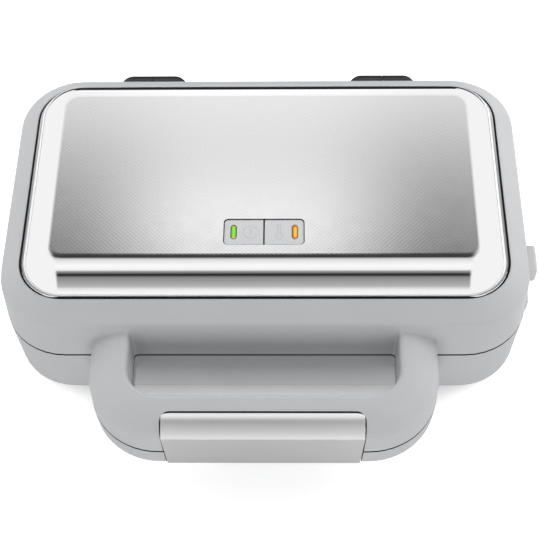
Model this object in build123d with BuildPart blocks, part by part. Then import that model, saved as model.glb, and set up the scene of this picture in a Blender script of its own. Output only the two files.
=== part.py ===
"""Countertop waffle maker: two drafted housings, a domed steel cover, a D-shaped handle and two grid plates."""
from build123d import *
from math import cos, radians, sin
import os

os.makedirs("parts", exist_ok=True)

# Heights above the table
foot_height = 4.5
base_height = 40.4           # base housing, underside to rim
seam_gap = 1.2               # shadow gap between the two housings
lid_wall_height = 28.6       # lid housing, rim to shoulder crease
shoulder_rise = 7.6          # sloping shoulder, crease to the opening's lip
shoulder_run = 10.1          # and how far it runs inwards

# Housings, measured at the seam, where they are widest
seam_width = 285.9
seam_depth = 170.3
seam_corner = 35.5
base_taper = 1.45            # draft of the base walls, each side
lid_taper = 1.55             # draft of the lid walls, each side
wall = 2.6
base_edge_radius = 4.5
crease_radius = 4.0

# Steel cover in the lid
cover_corner = 23.0
cover_rise = 9.0
cover_roll_side = 16.5       # width of the rolled edge at the sides
cover_roll_front = 19.0      # and along the front and back
cover_sheet = 0.8
cover_skirt = 4.5
cover_edge_drop = 0.4        # the dome starts this far below the housing's lip
cover_gap = 1.3
lip_width = 1.0
cover_ledge_width = 11.0
cover_ledge = 2.2

# Indicator panel in the cover
panel_width = 44.0
panel_depth = 17.7
panel_y = -36.2
panel_corner = 2.0
panel_gap = 0.6
panel_sunk = 0.5
tile_split = 0.8
tile_flange = 1.8
tile_thickness = 1.6
lens_x = 16.0
lens_width = 3.4
lens_length = 12.6
lens_gap = 0.1
lens_foot = 1.0              # a lens's rim under its tile
board_drop = 4.6             # lamp board below the tiles
board_thickness = 1.6
lamp_radius = 1.4

# Handle, a D-shaped loop split at the seam
handle_reach = 131.35        # housing centre to the middle of the front bar
handle_arm_x = 80.75
handle_width = 20.3
handle_bend = 26.5
handle_inner_rise = 24.6     # inner top edge above the lid rim
handle_outer_rise = 17.4     # outer edge above the lid rim
handle_crown = 1.0           # its top bulges by this much between them
handle_drop = 11.5           # lower half below the base rim
handle_flare = 0.5
handle_inner_radius = 2.5    # rounding of its inner top edge
handle_outer_radius = 6.5    # and of its outer one
handle_lower_radius = 3.0
handle_wall = 2.6
handle_cover_thickness = 2.0
handle_cover_gap = 0.1
handle_solid = 57.0          # half-length of the solid middle that carries the latch

# Latch on the front bar
latch_half_top = 51.5
latch_half_bottom = 50.0
latch_gap = 0.8
latch_proud = 2.0            # latch face in front of the bar
latch_sheet = 2.2
latch_back = 12.4            # depth of its top, crease to rear edge
latch_crease_rise = 16.8     # crease above the lid rim
latch_slope = 5.1            # its top's rise from the crease to the rear edge
latch_bulge = 0.8            # and how far that top bulges
latch_corner = 4.5
latch_hook = 4.2
latch_hook_thickness = 2.7
latch_hook_clearance = 1.0
latch_pivot_back = 6.5       # pivot behind the latch face
latch_pivot_drop = 6.9       # and below the rear edge of its top
latch_pin_radius = 1.5
latch_ear_x = 46.0
latch_ear = 3.0
latch_ear_radius = 3.2
latch_bearing = 3.3
latch_swing_room = 2.3
torsion_radius = 2.2
torsion_wire = 0.4
torsion_coil = 8.0
torsion_turns = 5

# Hinges on the rear wall
hinge_x = 70.0
hinge_standoff = 12.45
knuckle_radius = 11.8
knuckle_length = 20.5
knuckle_slit = 0.5
knuckle_dome = 8.0
hinge_pin_radius = 3.0
hinge_pin_reach = 15.0
running_fit = 0.05
tight_fit = 0.02

# Cooking plates, given as distances from the seam plane
plate_face = 0.4
plate_gap = 2.0
plate_rim = 3.0
plate_ledge = 2.2
ledge_width = 9.35
catch_bay = 12.0             # room for the catches between the moulds and the ledge at the sides
mould_margin = 9.2           # room between the moulds and the ledge at the front and rear
mould_web = 10.0
mould_sink = 12.0
mould_wall = 2.0
mould_corner = 5.0
mould_draft = 8.0
tooth_count = 5
tooth_gap = 7.0
tooth_height = 9.0
tooth_draft = 12.0

# Heating elements and reflectors behind the plates
element_radius = 3.25
element_gap = 0.3
element_inset = 19.0         # inside the moulds' sides
element_margin = 18.0        # and inside their front and rear
element_bend = 18.0
element_tail_x = 10.0
element_tail_bend = 8.0
element_tail = 11.0
element_stud_radius = 1.2
element_stud = 7.0
reflector_gap = 1.3
reflector_sheet = 0.8
reflector_side_gap = 3.0     # to the plate's ledge at the sides
reflector_end_gap = 0.2      # and at the front and rear
reflector_corner = 20.0
reflector_rim = 5.0
boss_x = 80.0
boss_inset = 7.0             # bosses inside the reflector's front and rear edges
boss_radius = 3.9
screw_radius = 1.5
screw_head_radius = 2.8
screw_head = 1.8
screw_length = 5.0
clip_width = 10.0
clip_length = 6.0

# Plate catches and release buttons
lug_width = 10.0
lug_web = 2.2
lug_clearance = 0.6
lug_depth = 9.1
lip_reach = 2.6
lip_thickness = 2.2
catch_gap = 0.3
hook_bite = 2.1
hook_thickness = 2.8
arm_thickness = 2.8
button_y = -39.5
button_width = 16.0
button_height = 11.0
button_proud = 3.75          # outer face past the housings' widest line
button_edge = 1.6
button_gap = 0.4
button_travel = 2.8
flange_thickness = 2.0
flange_margin = 1.8
lower_button_level = 34.0
upper_button_level = 65.5
spring_radius = 2.0
spring_wire = 0.35
spring_turns = 3
spring_stop = 2.0
stop_inset = 1.0             # rib's room to the ledge
bracket_y = 35.0

# Cord inlet, feet and vents
inlet_level = 20.0
inlet_bore = 3.5
inlet_neck = 5.1
inlet_flange = 7.5
inlet_flange_thickness = 1.6
inlet_sleeve = 6.0
foot_radius = 8.0
foot_chamfer = 1.0
foot_stem = 3.0
foot_inset_side = 30.95
foot_inset_front = 27.15
vent_width = 3.0
vent_length = 26.0
vent_pitch = 9.0
vent_count = 9
vent_y = 30.0

# Electrical pieces inside
block_width = 34.0           # terminal block
block_depth = 16.0
block_height = 14.0
block_x = -58.0
block_y = 45.0
block_pitch = 11.0
block_bore = 3.0
block_floor = 4.0
thermostat_radius = 12.0
thermostat_height = 7.0
thermostat_neck_radius = 7.0
thermostat_neck = 2.0
fuse_y = 22.0
fuse_strap_width = 24.0
fuse_strap_depth = 8.0
fuse_strap = 1.2
fuse_radius = 2.2
fuse_length = 16.0
fuse_sunk = 0.4

# Levels and places that follow
base_bottom = foot_height
base_rim = base_bottom + base_height
lid_rim = base_rim + seam_gap
seam = base_rim + seam_gap / 2
shoulder = lid_rim + lid_wall_height
lid_top = shoulder + shoulder_rise
cover_inset = lid_taper + shoulder_run + lip_width + cover_gap
cover_width = seam_width - 2 * cover_inset
cover_depth = seam_depth - 2 * cover_inset
cover_edge = lid_top - cover_edge_drop
cover_top = cover_edge + cover_rise
ledge_top = cover_edge - cover_skirt
latch_face = handle_reach + handle_width / 2 + latch_proud
hinge_reach = seam_depth / 2 + hinge_standoff
middle_y = (latch_face - hinge_reach - knuckle_radius) / 2
latch_crease = lid_rim + latch_crease_rise
latch_top = latch_crease + latch_slope
latch_bottom = base_rim - handle_drop
plate_width = seam_width - 2 * (wall + plate_gap)
plate_depth = seam_depth - 2 * (wall + plate_gap)
plate_corner = seam_corner - wall - plate_gap
plate_back = plate_face + plate_rim
ledge_back = plate_back + plate_ledge
ledge_half = plate_width / 2 - ledge_width
mould_floor = plate_face + mould_sink
mould_back = mould_floor + mould_wall
mould_half = ledge_half - catch_bay
mould_width = mould_half - mould_wall - mould_web / 2
mould_depth = plate_depth - 2 * (ledge_width + mould_margin + mould_wall)
mould_x = (mould_web + mould_width) / 2
tooth_pitch_x = mould_width / tooth_count
tooth_pitch_y = mould_depth / tooth_count
element_reach_x = mould_half - element_inset
element_reach_y = mould_depth / 2 + mould_wall - element_margin
element_tail_y = element_reach_y + element_tail
element_depth = mould_back + element_gap + element_radius
reflector_face = element_depth + element_radius + reflector_gap
reflector_back = reflector_face + reflector_sheet
reflector_width = 2 * (ledge_half - reflector_side_gap)
reflector_depth = plate_depth - 2 * (ledge_width + reflector_end_gap)
boss_y = reflector_depth / 2 - boss_inset
lip_back = plate_back + lug_depth
lip_front = lip_back - lip_thickness
arm_front = lip_back + catch_gap
spring_depth = (ledge_back + button_gap + arm_front) / 2
stop_x = ledge_half + stop_inset
floor_top = base_bottom + wall
left_lug_x = ledge_half - 2 * lip_reach
button_reach = seam_width / 2 + button_proud
foot_x = seam_width / 2 - foot_inset_side
foot_y = seam_depth / 2 - foot_inset_front


def level(height):
    """A horizontal plane over the middle of the housings."""
    return Plane((0, middle_y, height))


def side_plane(x):
    """An upright plane across X: its own x runs to the rear from the middle of the housings, its y is height."""
    return Plane(origin=(x, middle_y, 0), x_dir=(0, 1, 0), z_dir=(1, 0, 0))


def front_plane(y):
    """An upright plane that faces the front, y from the middle of the housings."""
    return Plane(origin=(0, middle_y + y, 0), x_dir=(1, 0, 0), z_dir=(0, -1, 0))


def block(x, y, z, mode=Mode.ADD):
    """A block between two places on each axis, y counted from the middle of the housings."""
    centre = [(low + high) / 2 for low, high in (x, y, z)]
    size = [abs(high - low) for low, high in (x, y, z)]
    with Locations((centre[0], middle_y + centre[1], centre[2])):
        Box(*size, mode=mode)


def drafted_form(sections):
    """A solid through rounded rectangles, each a height, width, depth and corner radius."""
    with BuildPart() as form:
        for height, width, depth, corner in sections:
            with BuildSketch(level(height)):
                RectangleRounded(width, depth, corner)
        loft(ruled=True)
    return form.part


def base_section(height, inset=0.0):
    """The base housing's outline at a height, drawn in by an inset."""
    inward = inset + base_taper * (base_rim - height) / base_height
    return height, seam_width - 2 * inward, seam_depth - 2 * inward, seam_corner - inward


def lid_section(height, inset=0.0):
    """The lid housing's wall outline at a height, drawn in by an inset."""
    inward = inset + lid_taper * (height - lid_rim) / lid_wall_height
    return height, seam_width - 2 * inward, seam_depth - 2 * inward, seam_corner - inward


def cover_section(turn, inset=0.0):
    """The cover's outline where its rolled edge has turned by an angle, from upright at 0 to flat at 90."""
    drawn = 1 - cos(radians(turn))
    return (
        cover_edge + (cover_rise - inset) * sin(radians(turn)),
        cover_width - 2 * (cover_roll_side * drawn + inset),
        cover_depth - 2 * (cover_roll_front * drawn + inset),
        cover_corner - cover_roll_side * drawn - inset * cos(radians(turn)),
    )


def handle_bar(profile, start, rounds=(), crown=0.0):
    """A profile of (outward, height) points swept round the handle, from its start in front of the middle.

    Its second side may bulge by a crown, and rounds are pairs of a corner and its radius.
    """
    with BuildPart() as bar:
        with BuildLine() as path:
            FilletPolyline(
                (-handle_arm_x, middle_y - start, 0),
                (-handle_arm_x, middle_y - handle_reach, 0),
                (handle_arm_x, middle_y - handle_reach, 0),
                (handle_arm_x, middle_y - start, 0),
                radius=handle_bend,
            )
        section_plane = Plane(
            origin=(-handle_arm_x, middle_y - start, 0), x_dir=(1, 0, 0), z_dir=(0, -1, 0)
        )
        with BuildSketch(section_plane) as section:
            corners = [(-outward, height) for outward, height in profile]
            with BuildLine():
                Polyline(*corners[2:], *corners[:2])
                if crown:
                    across = Vector(*corners[2]) - Vector(*corners[1])
                    bulge = across.rotate(Axis.Z, 90).normalized() * crown
                    ThreePointArc(corners[1], Vector(*corners[1]) + across / 2 + bulge, corners[2])
                else:
                    Line(corners[1], corners[2])
            make_face()
            for (outward, height), radius in rounds:
                fillet(section.vertices().sort_by_distance((-outward, height))[0], radius)
        sweep(path=path.line)
    return bar.part


def mirrored_pair(one):
    """A piece and its mirror image across the middle of the appliance."""
    with BuildPart() as other:
        add(one)
        mirror(about=Plane.YZ, mode=Mode.REPLACE)
    return one, other.part


def over_seam(lower):
    """The lid's twin of a piece in the base, mirrored in the seam plane."""
    with BuildPart() as upper:
        add(lower)
        mirror(about=Plane.XY.offset(seam), mode=Mode.REPLACE)
    return upper.part


# Outer forms, which the housings are cut from and the hinge brackets are fitted to
base_outside = drafted_form([base_section(base_bottom), base_section(base_rim)])
lip_section = (
    lid_top,
    cover_width + 2 * (cover_gap + lip_width),
    cover_depth + 2 * (cover_gap + lip_width),
    cover_corner + cover_gap + lip_width,
)
lid_outside = drafted_form([lid_section(lid_rim), lid_section(shoulder), lip_section])

# Handle sections: the top of the loop falls from its inner edge to an outer crease
handle_half = handle_width / 2
upper_handle_profile = [
    (-handle_half - handle_flare, lid_rim),
    (-handle_half, lid_rim + handle_inner_rise),
    (handle_half, lid_rim + handle_outer_rise),
    (handle_half + handle_flare, lid_rim),
]
lower_handle_profile = [
    (-handle_half - handle_flare, base_rim),
    (-handle_half, base_rim - handle_drop),
    (handle_half, base_rim - handle_drop),
    (handle_half + handle_flare, base_rim),
]
handle_root = seam_depth / 2 - lid_taper - wall / 2
channel_root = seam_depth / 2 + wall
channel_half = handle_half - handle_wall
top_fall = (handle_inner_rise - handle_outer_rise) / handle_width
upper_channel_profile = [
    (-channel_half, lid_rim),
    (-channel_half, lid_rim + handle_outer_rise + top_fall * (handle_half + channel_half) - handle_wall),
    (channel_half, lid_rim + handle_outer_rise + top_fall * (handle_half - channel_half) - handle_wall),
    (channel_half, lid_rim),
]
lower_channel_profile = [
    (-channel_half, base_rim),
    (-channel_half, latch_bottom + handle_wall),
    (channel_half, latch_bottom + handle_wall),
    (channel_half, base_rim),
]


def handle_channel(profile):
    """The hollow of a handle half: its arms and corners, up to the solid middle that carries the latch."""
    with BuildPart() as hollow:
        add(handle_bar(profile, channel_root))
        block((-handle_solid, handle_solid), (-latch_face, 0), (latch_bottom, lid_top), Mode.SUBTRACT)
    return hollow.part


def handle_cover(low, high):
    """The strip that closes a handle half at the seam."""
    half = channel_half - handle_cover_gap
    strip = [(-half, low), (-half, high), (half, high), (half, low)]
    with BuildPart() as cover:
        add(handle_bar(strip, channel_root + handle_cover_gap))
        block(
            (-handle_solid - handle_cover_gap, handle_solid + handle_cover_gap),
            (-latch_face, 0), (latch_bottom, lid_top), Mode.SUBTRACT,
        )
    return cover.part


# Latch: a folded cap over the bar's front, hooked under the lower half
latch_rear = latch_face - latch_back
pivot_y = -(latch_face - latch_pivot_back)
pivot_z = latch_top - latch_pivot_drop
recess_y = -(latch_face - latch_sheet - latch_gap)


def latch_rise(y):
    """The straight height of the latch's top at a place between its crease and its rear edge."""
    return latch_crease + latch_slope * (y + latch_face) / latch_back


def latch_front(clearance):
    """The latch's outline from the front, tapering downwards, as a prism through the bar."""
    with BuildPart() as prism:
        with BuildSketch(front_plane(0)):
            with BuildLine():
                Polyline(
                    (-latch_half_bottom - clearance, latch_bottom - 1),
                    (-latch_half_top - clearance, latch_crease),
                    (-latch_half_top - clearance, lid_top),
                    (latch_half_top + clearance, lid_top),
                    (latch_half_top + clearance, latch_crease),
                    (latch_half_bottom + clearance, latch_bottom - 1),
                    close=True,
                )
            make_face()
        extrude(amount=latch_face + clearance)
    return prism.part


latch_outline = latch_front(0)
latch_opening = latch_front(latch_gap)

with BuildPart() as latch_mouth:
    with BuildSketch(level(latch_top)) as mouth:
        with Locations((0, -latch_rear + latch_gap)):
            Rectangle(
                2 * (latch_half_top + latch_gap), 2 * latch_back, align=(Align.CENTER, Align.MAX),
            )
        fillet(mouth.vertices().group_by(Axis.Y)[-1], latch_corner + latch_gap)
    extrude(amount=lid_top - latch_top)

with BuildPart() as latch_pocket:
    with BuildSketch(side_plane(-latch_half_top - latch_gap)):
        with BuildLine():
            Polyline(
                (-latch_face - 1, latch_top),
                (-latch_rear + latch_gap, latch_top),
                (-latch_rear + latch_swing_room, latch_top + latch_gap - latch_swing_room),
                (-latch_rear + latch_swing_room, pivot_z - latch_ear_radius - latch_gap),
                (recess_y, pivot_z - latch_ear_radius - latch_gap),
                (recess_y, latch_bottom - 1),
                (-latch_face - 1, latch_bottom - 1),
                close=True,
            )
        make_face()
    extrude(amount=2 * (latch_half_top + latch_gap))
    add(latch_opening, mode=Mode.INTERSECT)
    add(latch_mouth.part)

hook_room_y = recess_y + latch_hook + latch_hook_clearance + latch_gap
hook_room_z = latch_bottom + latch_hook_thickness + latch_hook_clearance

bulge_y = -latch_face + latch_back / 2
with BuildPart() as handle_latch:
    with BuildSketch(side_plane(-latch_half_top)):
        with BuildLine():
            ThreePointArc(
                (-latch_rear, latch_top), (bulge_y, latch_rise(bulge_y) + latch_bulge),
                (-latch_face, latch_crease),
            )
            Polyline(
                (-latch_face, latch_crease),
                (-latch_face, latch_bottom),
                (-latch_face + latch_sheet + latch_hook, latch_bottom),
                (-latch_face + latch_sheet + latch_hook, latch_bottom + latch_hook_thickness),
                (-latch_face + latch_sheet, latch_bottom + latch_hook_thickness),
                (-latch_face + latch_sheet, latch_crease - latch_sheet / 2),
            )
            ThreePointArc(
                (-latch_face + latch_sheet, latch_crease - latch_sheet / 2),
                (bulge_y, latch_rise(bulge_y) + latch_bulge - latch_sheet),
                (-latch_rear, latch_top - latch_sheet),
            )
            Line((-latch_rear, latch_top - latch_sheet), (-latch_rear, latch_top))
        make_face()
    extrude(amount=2 * latch_half_top)
    add(latch_outline, mode=Mode.INTERSECT)
    rear_corners = handle_latch.edges().filter_by(Axis.Z).group_by(Axis.Y)[-1]
    fillet(rear_corners, latch_corner)
    for side in (-1, 1):
        with BuildSketch(side_plane(side * latch_ear_x - latch_ear / 2)):
            with Locations((pivot_y, pivot_z)):
                Circle(latch_ear_radius)
            with BuildLine():
                ear_front = pivot_y - latch_ear_radius
                ear_rear = pivot_y + latch_ear_radius
                Polyline(
                    (ear_front, pivot_z), (ear_rear, pivot_z),
                    (ear_rear, latch_rise(ear_rear) - latch_sheet / 2),
                    (ear_front, latch_rise(ear_front) - latch_sheet / 2),
                    close=True,
                )
            make_face()
        extrude(amount=latch_ear)
    with BuildSketch(side_plane(-latch_half_top)):
        with Locations((pivot_y, pivot_z)):
            Circle(latch_pin_radius + running_fit)
    extrude(amount=2 * latch_half_top, mode=Mode.SUBTRACT)


def latch_pin_rod(radius, bearing):
    """A rod along the latch's pivot that reaches into the handle on both sides."""
    with BuildPart() as rod:
        with BuildSketch(side_plane(-latch_half_top - bearing)):
            with Locations((pivot_y, pivot_z)):
                Circle(radius)
        extrude(amount=2 * (latch_half_top + bearing))
    return rod.part


latch_pin = latch_pin_rod(latch_pin_radius, latch_bearing)


def away(distance, side):
    """A height at a distance from the seam plane, below it for side -1 and above it for side 1."""
    return seam + side * distance


def post(x, y, low, high, radius, mode=Mode.ADD):
    """An upright round post, y counted from the middle of the housings."""
    with Locations((x, middle_y + y, (low + high) / 2)):
        Cylinder(radius, abs(high - low), mode=mode)


def plate_seat(inner, side):
    """The ledge that carries a cooking plate, with the rib that its release spring pushes against."""
    width, depth, corner = inner
    overlap = wall / 2
    with BuildPart() as seat:
        with BuildSketch(level(min(away(plate_back, side), away(ledge_back, side)))):
            RectangleRounded(width + 2 * overlap, depth + 2 * overlap, corner + overlap)
            RectangleRounded(
                2 * ledge_half, plate_depth - 2 * ledge_width, plate_corner - ledge_width,
                mode=Mode.SUBTRACT,
            )
        extrude(amount=plate_ledge)
        block(
            (stop_x, stop_x + spring_stop),
            (button_y - spring_radius - spring_stop, button_y + spring_radius + spring_stop),
            (away(ledge_back, side), away(arm_front - button_gap, side)),
        )
    return seat.part


def button_window(height):
    """The opening in the right wall for a release button."""
    half_width = button_width / 2 + button_gap
    half_height = button_height / 2 + button_gap
    block(
        (ledge_half, seam_width / 2 + wall),
        (button_y - half_width, button_y + half_width),
        (height - half_height, height + half_height), Mode.SUBTRACT,
    )


def hinge_screw_x(outward):
    """Where a hinge bracket's screw lies: outward is 1 for the base's outer knuckle, -1 for the lid's inner one."""
    return hinge_x + outward * knuckle_slit / 2 + outward * (knuckle_length - knuckle_dome) / 2


def hinge_screw_level(side):
    return away(ledge_back + screw_head_radius + catch_gap, side)


with BuildPart() as base_housing:
    add(base_outside)
    fillet(base_housing.edges().group_by(Axis.Z)[0], base_edge_radius)
    add(handle_bar(
        lower_handle_profile, handle_root,
        [(lower_handle_profile[1], handle_lower_radius), (lower_handle_profile[2], handle_lower_radius)],
    ))
    add(drafted_form([
        base_section(base_bottom + wall, wall), base_section(base_rim + wall, wall),
    ]), mode=Mode.SUBTRACT)
    add(handle_channel(lower_channel_profile), mode=Mode.SUBTRACT)
    add(latch_pocket.part, mode=Mode.SUBTRACT)
    block(
        (-latch_half_bottom - latch_gap, latch_half_bottom + latch_gap),
        (recess_y - 1, hook_room_y), (latch_bottom - 1, hook_room_z), Mode.SUBTRACT,
    )
    add(plate_seat(base_section(seam - plate_back, wall)[1:], -1))
    for x in (-boss_x, boss_x):
        for y in (-boss_y, boss_y):
            post(x, y, floor_top, seam - reflector_back, boss_radius)
            post(x, y, seam - reflector_back - screw_length, seam, screw_radius + tight_fit, Mode.SUBTRACT)
    with BuildSketch(level(base_bottom)):
        with Locations((0, -vent_y), (0, vent_y)):
            with GridLocations(vent_pitch, 1, vent_count, 1):
                SlotOverall(vent_length, vent_width, rotation=90)
        with GridLocations(2 * foot_x, 2 * foot_y, 2, 2):
            Circle(foot_stem + running_fit)
    extrude(amount=wall, mode=Mode.SUBTRACT)
    button_window(lower_button_level)
    with BuildSketch(front_plane(seam_depth / 2)):
        with Locations((0, inlet_level)):
            Circle(inlet_neck + running_fit)
        with Locations((-hinge_screw_x(1), hinge_screw_level(-1)), (hinge_screw_x(1), hinge_screw_level(-1))):
            Circle(screw_radius + running_fit)
    extrude(amount=seam_depth / 4, mode=Mode.SUBTRACT)

with BuildPart() as lid_housing:
    add(lid_outside)
    crease = lid_housing.edges().filter_by(lambda edge: abs(edge.center().Z - shoulder) < 0.01)
    fillet(crease, crease_radius)
    add(handle_bar(
        upper_handle_profile, handle_root,
        [(upper_handle_profile[1], handle_inner_radius), (upper_handle_profile[2], handle_outer_radius)],
        handle_crown,
    ))
    add(drafted_form([
        lid_section(lid_rim - wall, wall), lid_section(ledge_top - cover_ledge, wall),
    ]), mode=Mode.SUBTRACT)
    add(handle_channel(upper_channel_profile), mode=Mode.SUBTRACT)
    add(latch_pocket.part, mode=Mode.SUBTRACT)
    with BuildSketch(level(ledge_top)):
        RectangleRounded(
            cover_width + 2 * cover_gap, cover_depth + 2 * cover_gap, cover_corner + cover_gap
        )
    extrude(amount=lid_top - ledge_top + 1, mode=Mode.SUBTRACT)
    with BuildSketch(level(ledge_top - cover_ledge)):
        RectangleRounded(
            cover_width - 2 * cover_ledge_width, cover_depth - 2 * cover_ledge_width,
            cover_corner - cover_ledge_width,
        )
    extrude(amount=cover_ledge, mode=Mode.SUBTRACT)
    add(plate_seat(lid_section(seam + plate_back, wall)[1:], 1))
    for x in (-boss_x, boss_x):
        for y in (-boss_y, boss_y):
            post(x, y, seam + reflector_back, ledge_top - cover_ledge / 2, boss_radius)
            post(x, y, seam, seam + reflector_back + screw_length, screw_radius + tight_fit, Mode.SUBTRACT)
    button_window(upper_button_level)
    add(latch_pin_rod(latch_pin_radius + tight_fit, latch_bearing + tight_fit), mode=Mode.SUBTRACT)
    with BuildSketch(front_plane(seam_depth / 2)):
        with Locations((-hinge_screw_x(-1), hinge_screw_level(1)), (hinge_screw_x(-1), hinge_screw_level(1))):
            Circle(screw_radius + running_fit)
    extrude(amount=seam_depth / 4, mode=Mode.SUBTRACT)


def cover_shell(inset, bottom):
    """The cover's domed form, drawn in by an inset, down to its bottom edge."""
    turns = range(0, 91, 15)
    edge = cover_section(0, inset)
    with BuildPart() as dome:
        for height, width, depth, corner in [(bottom, *edge[1:])] + [cover_section(t, inset) for t in turns]:
            with BuildSketch(level(height)):
                RectangleRounded(width, depth, corner)
        loft(ruled=True)
    return dome.part


with BuildPart() as steel_cover:
    add(cover_shell(0, ledge_top))
    add(cover_shell(cover_sheet, ledge_top - 1), mode=Mode.SUBTRACT)
    with BuildSketch(level(cover_edge)):
        with Locations((0, panel_y)):
            RectangleRounded(panel_width + 2 * panel_gap, panel_depth + 2 * panel_gap, panel_corner + panel_gap)
    extrude(amount=cover_rise, mode=Mode.SUBTRACT)

# Indicator panel: two tiles clipped under the sheet, a lens in each, and a board with its lamps below
tile_top = cover_top - panel_sunk
tile_bottom = cover_top - cover_sheet - tile_thickness
board_top = tile_bottom - board_drop
lens_top = tile_top - panel_sunk / 2


def indicator_tile(side):
    """One tile of the panel, side -1 on the left, with its flange under the steel and two board posts."""
    inner = tile_split / 2
    with BuildPart() as tile:
        with BuildSketch(level(tile_bottom)):
            with Locations((0, panel_y)):
                RectangleRounded(panel_width, panel_depth, panel_corner)
        extrude(amount=tile_top - tile_bottom)
        with BuildSketch(level(tile_bottom)):
            with Locations((0, panel_y)):
                RectangleRounded(
                    panel_width + 2 * (panel_gap + tile_flange), panel_depth + 2 * (panel_gap + tile_flange),
                    panel_corner + panel_gap + tile_flange,
                )
        extrude(amount=tile_thickness)
        block(
            (side * inner, -side * panel_width),
            (panel_y - panel_depth, panel_y + panel_depth), (tile_bottom, cover_top), Mode.SUBTRACT,
        )
        with BuildSketch(level(tile_bottom)):
            with Locations((side * lens_x, panel_y)):
                SlotOverall(lens_length + 2 * lens_gap, lens_width + 2 * lens_gap, rotation=90)
        extrude(amount=tile_top - tile_bottom, mode=Mode.SUBTRACT)
        for y in (-panel_depth / 3, panel_depth / 3):
            post(side * lens_x / 2, panel_y + y, board_top, tile_bottom, lamp_radius)
    return tile.part


def indicator_lens(side):
    """A slotted lens that stands on its foot under the tile."""
    with BuildPart() as lens:
        with BuildSketch(level(tile_bottom - lens_foot)):
            with Locations((side * lens_x, panel_y)):
                SlotOverall(lens_length, lens_width, rotation=90)
        extrude(amount=lens_top - tile_bottom + lens_foot)
        with BuildSketch(level(tile_bottom - lens_foot)):
            with Locations((side * lens_x, panel_y)):
                SlotOverall(lens_length + 2 * lens_foot, lens_width + 2 * lens_foot, rotation=90)
        extrude(amount=lens_foot)
        fillet(lens.edges().group_by(Axis.Z)[-1], panel_sunk)
    return lens.part


with BuildPart() as lamp_board:
    block(
        (-panel_width / 2, panel_width / 2), (panel_y - panel_depth / 2, panel_y + panel_depth / 2),
        (board_top - board_thickness, board_top),
    )

with BuildPart() as indicator_lamps:
    for x in (-lens_x, lens_x):
        post(x, panel_y, board_top, tile_bottom - lens_foot - catch_gap - lamp_radius, lamp_radius)
        with Locations((x, middle_y + panel_y, tile_bottom - lens_foot - catch_gap - lamp_radius)):
            Sphere(lamp_radius)

# Lower cooking stack, which the lid repeats in mirror image
with BuildPart() as lower_cooking_plate:
    with BuildSketch(level(seam - plate_back)):
        RectangleRounded(plate_width, plate_depth, plate_corner)
    extrude(amount=plate_rim)
    with BuildSketch(level(seam - mould_back)):
        RectangleRounded(2 * mould_half, mould_depth + 2 * mould_wall, mould_corner + mould_wall)
    extrude(amount=mould_back - plate_back)
    with BuildSketch(level(seam - plate_face)):
        with Locations((-mould_x, 0), (mould_x, 0)):
            RectangleRounded(mould_width, mould_depth, mould_corner)
    extrude(amount=-mould_sink, taper=mould_draft, mode=Mode.SUBTRACT)
    with BuildSketch(level(seam - mould_floor)):
        with Locations((-mould_x, 0), (mould_x, 0)):
            with GridLocations(tooth_pitch_x, tooth_pitch_y, tooth_count, tooth_count):
                Rectangle(tooth_pitch_x - tooth_gap, tooth_pitch_y - tooth_gap)
    extrude(amount=tooth_height, taper=tooth_draft)
    block(
        (ledge_half - lug_clearance - lug_web, ledge_half - lug_clearance),
        (button_y - lug_width / 2, button_y + lug_width / 2), (seam - lip_back, seam - plate_back),
    )
    block(
        (ledge_half - lug_clearance - lug_web - lip_reach, ledge_half - lug_clearance),
        (button_y - lug_width / 2, button_y + lug_width / 2), (seam - lip_back, seam - lip_front),
    )
    for y in (-bracket_y, bracket_y):
        block(
            (lug_web - left_lug_x, -left_lug_x), (y - lug_width / 2, y + lug_width / 2),
            (seam - lip_back, seam - plate_back),
        )
        block(
            (-left_lug_x, -left_lug_x - lip_reach), (y - lug_width / 2, y + lug_width / 2),
            (seam - lip_back, seam - lip_front),
        )

with BuildPart() as lower_plate_brackets:
    for y in (-bracket_y, bracket_y):
        block(
            (-stop_x, -stop_x - spring_stop), (y - lug_width / 2, y + lug_width / 2),
            (seam - lip_front + catch_gap, seam - ledge_back),
        )
        block(
            (-left_lug_x - lip_reach + hook_bite, -stop_x - spring_stop), (y - lug_width / 2, y + lug_width / 2),
            (seam - lip_front + catch_gap, seam - lip_front + catch_gap + spring_stop),
        )


def element_tube(radius):
    """A tube bent round under both moulds, with its two tails side by side at the rear."""
    corners = [
        (-element_tail_x, element_tail_y), (-element_tail_x, element_reach_y),
        (-element_reach_x, element_reach_y), (-element_reach_x, -element_reach_y),
        (element_reach_x, -element_reach_y), (element_reach_x, element_reach_y),
        (element_tail_x, element_reach_y), (element_tail_x, element_tail_y),
    ]
    radii = [element_tail_bend] + 4 * [element_bend] + [element_tail_bend]
    start = (-element_tail_x, middle_y + element_tail_y, seam - element_depth)
    with BuildPart() as tube:
        with BuildLine():
            FilletPolyline(*[(x, middle_y + y, seam - element_depth) for x, y in corners], radius=radii)
        with BuildSketch(Plane(origin=start, z_dir=(0, -1, 0))):
            Circle(radius)
        sweep()
    return tube.part


with BuildPart() as lower_heating_element:
    add(element_tube(element_radius))
    with BuildSketch(front_plane(element_tail_y + element_stud)):
        with Locations((-element_tail_x, seam - element_depth), (element_tail_x, seam - element_depth)):
            Circle(element_stud_radius)
    extrude(amount=element_stud)

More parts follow.
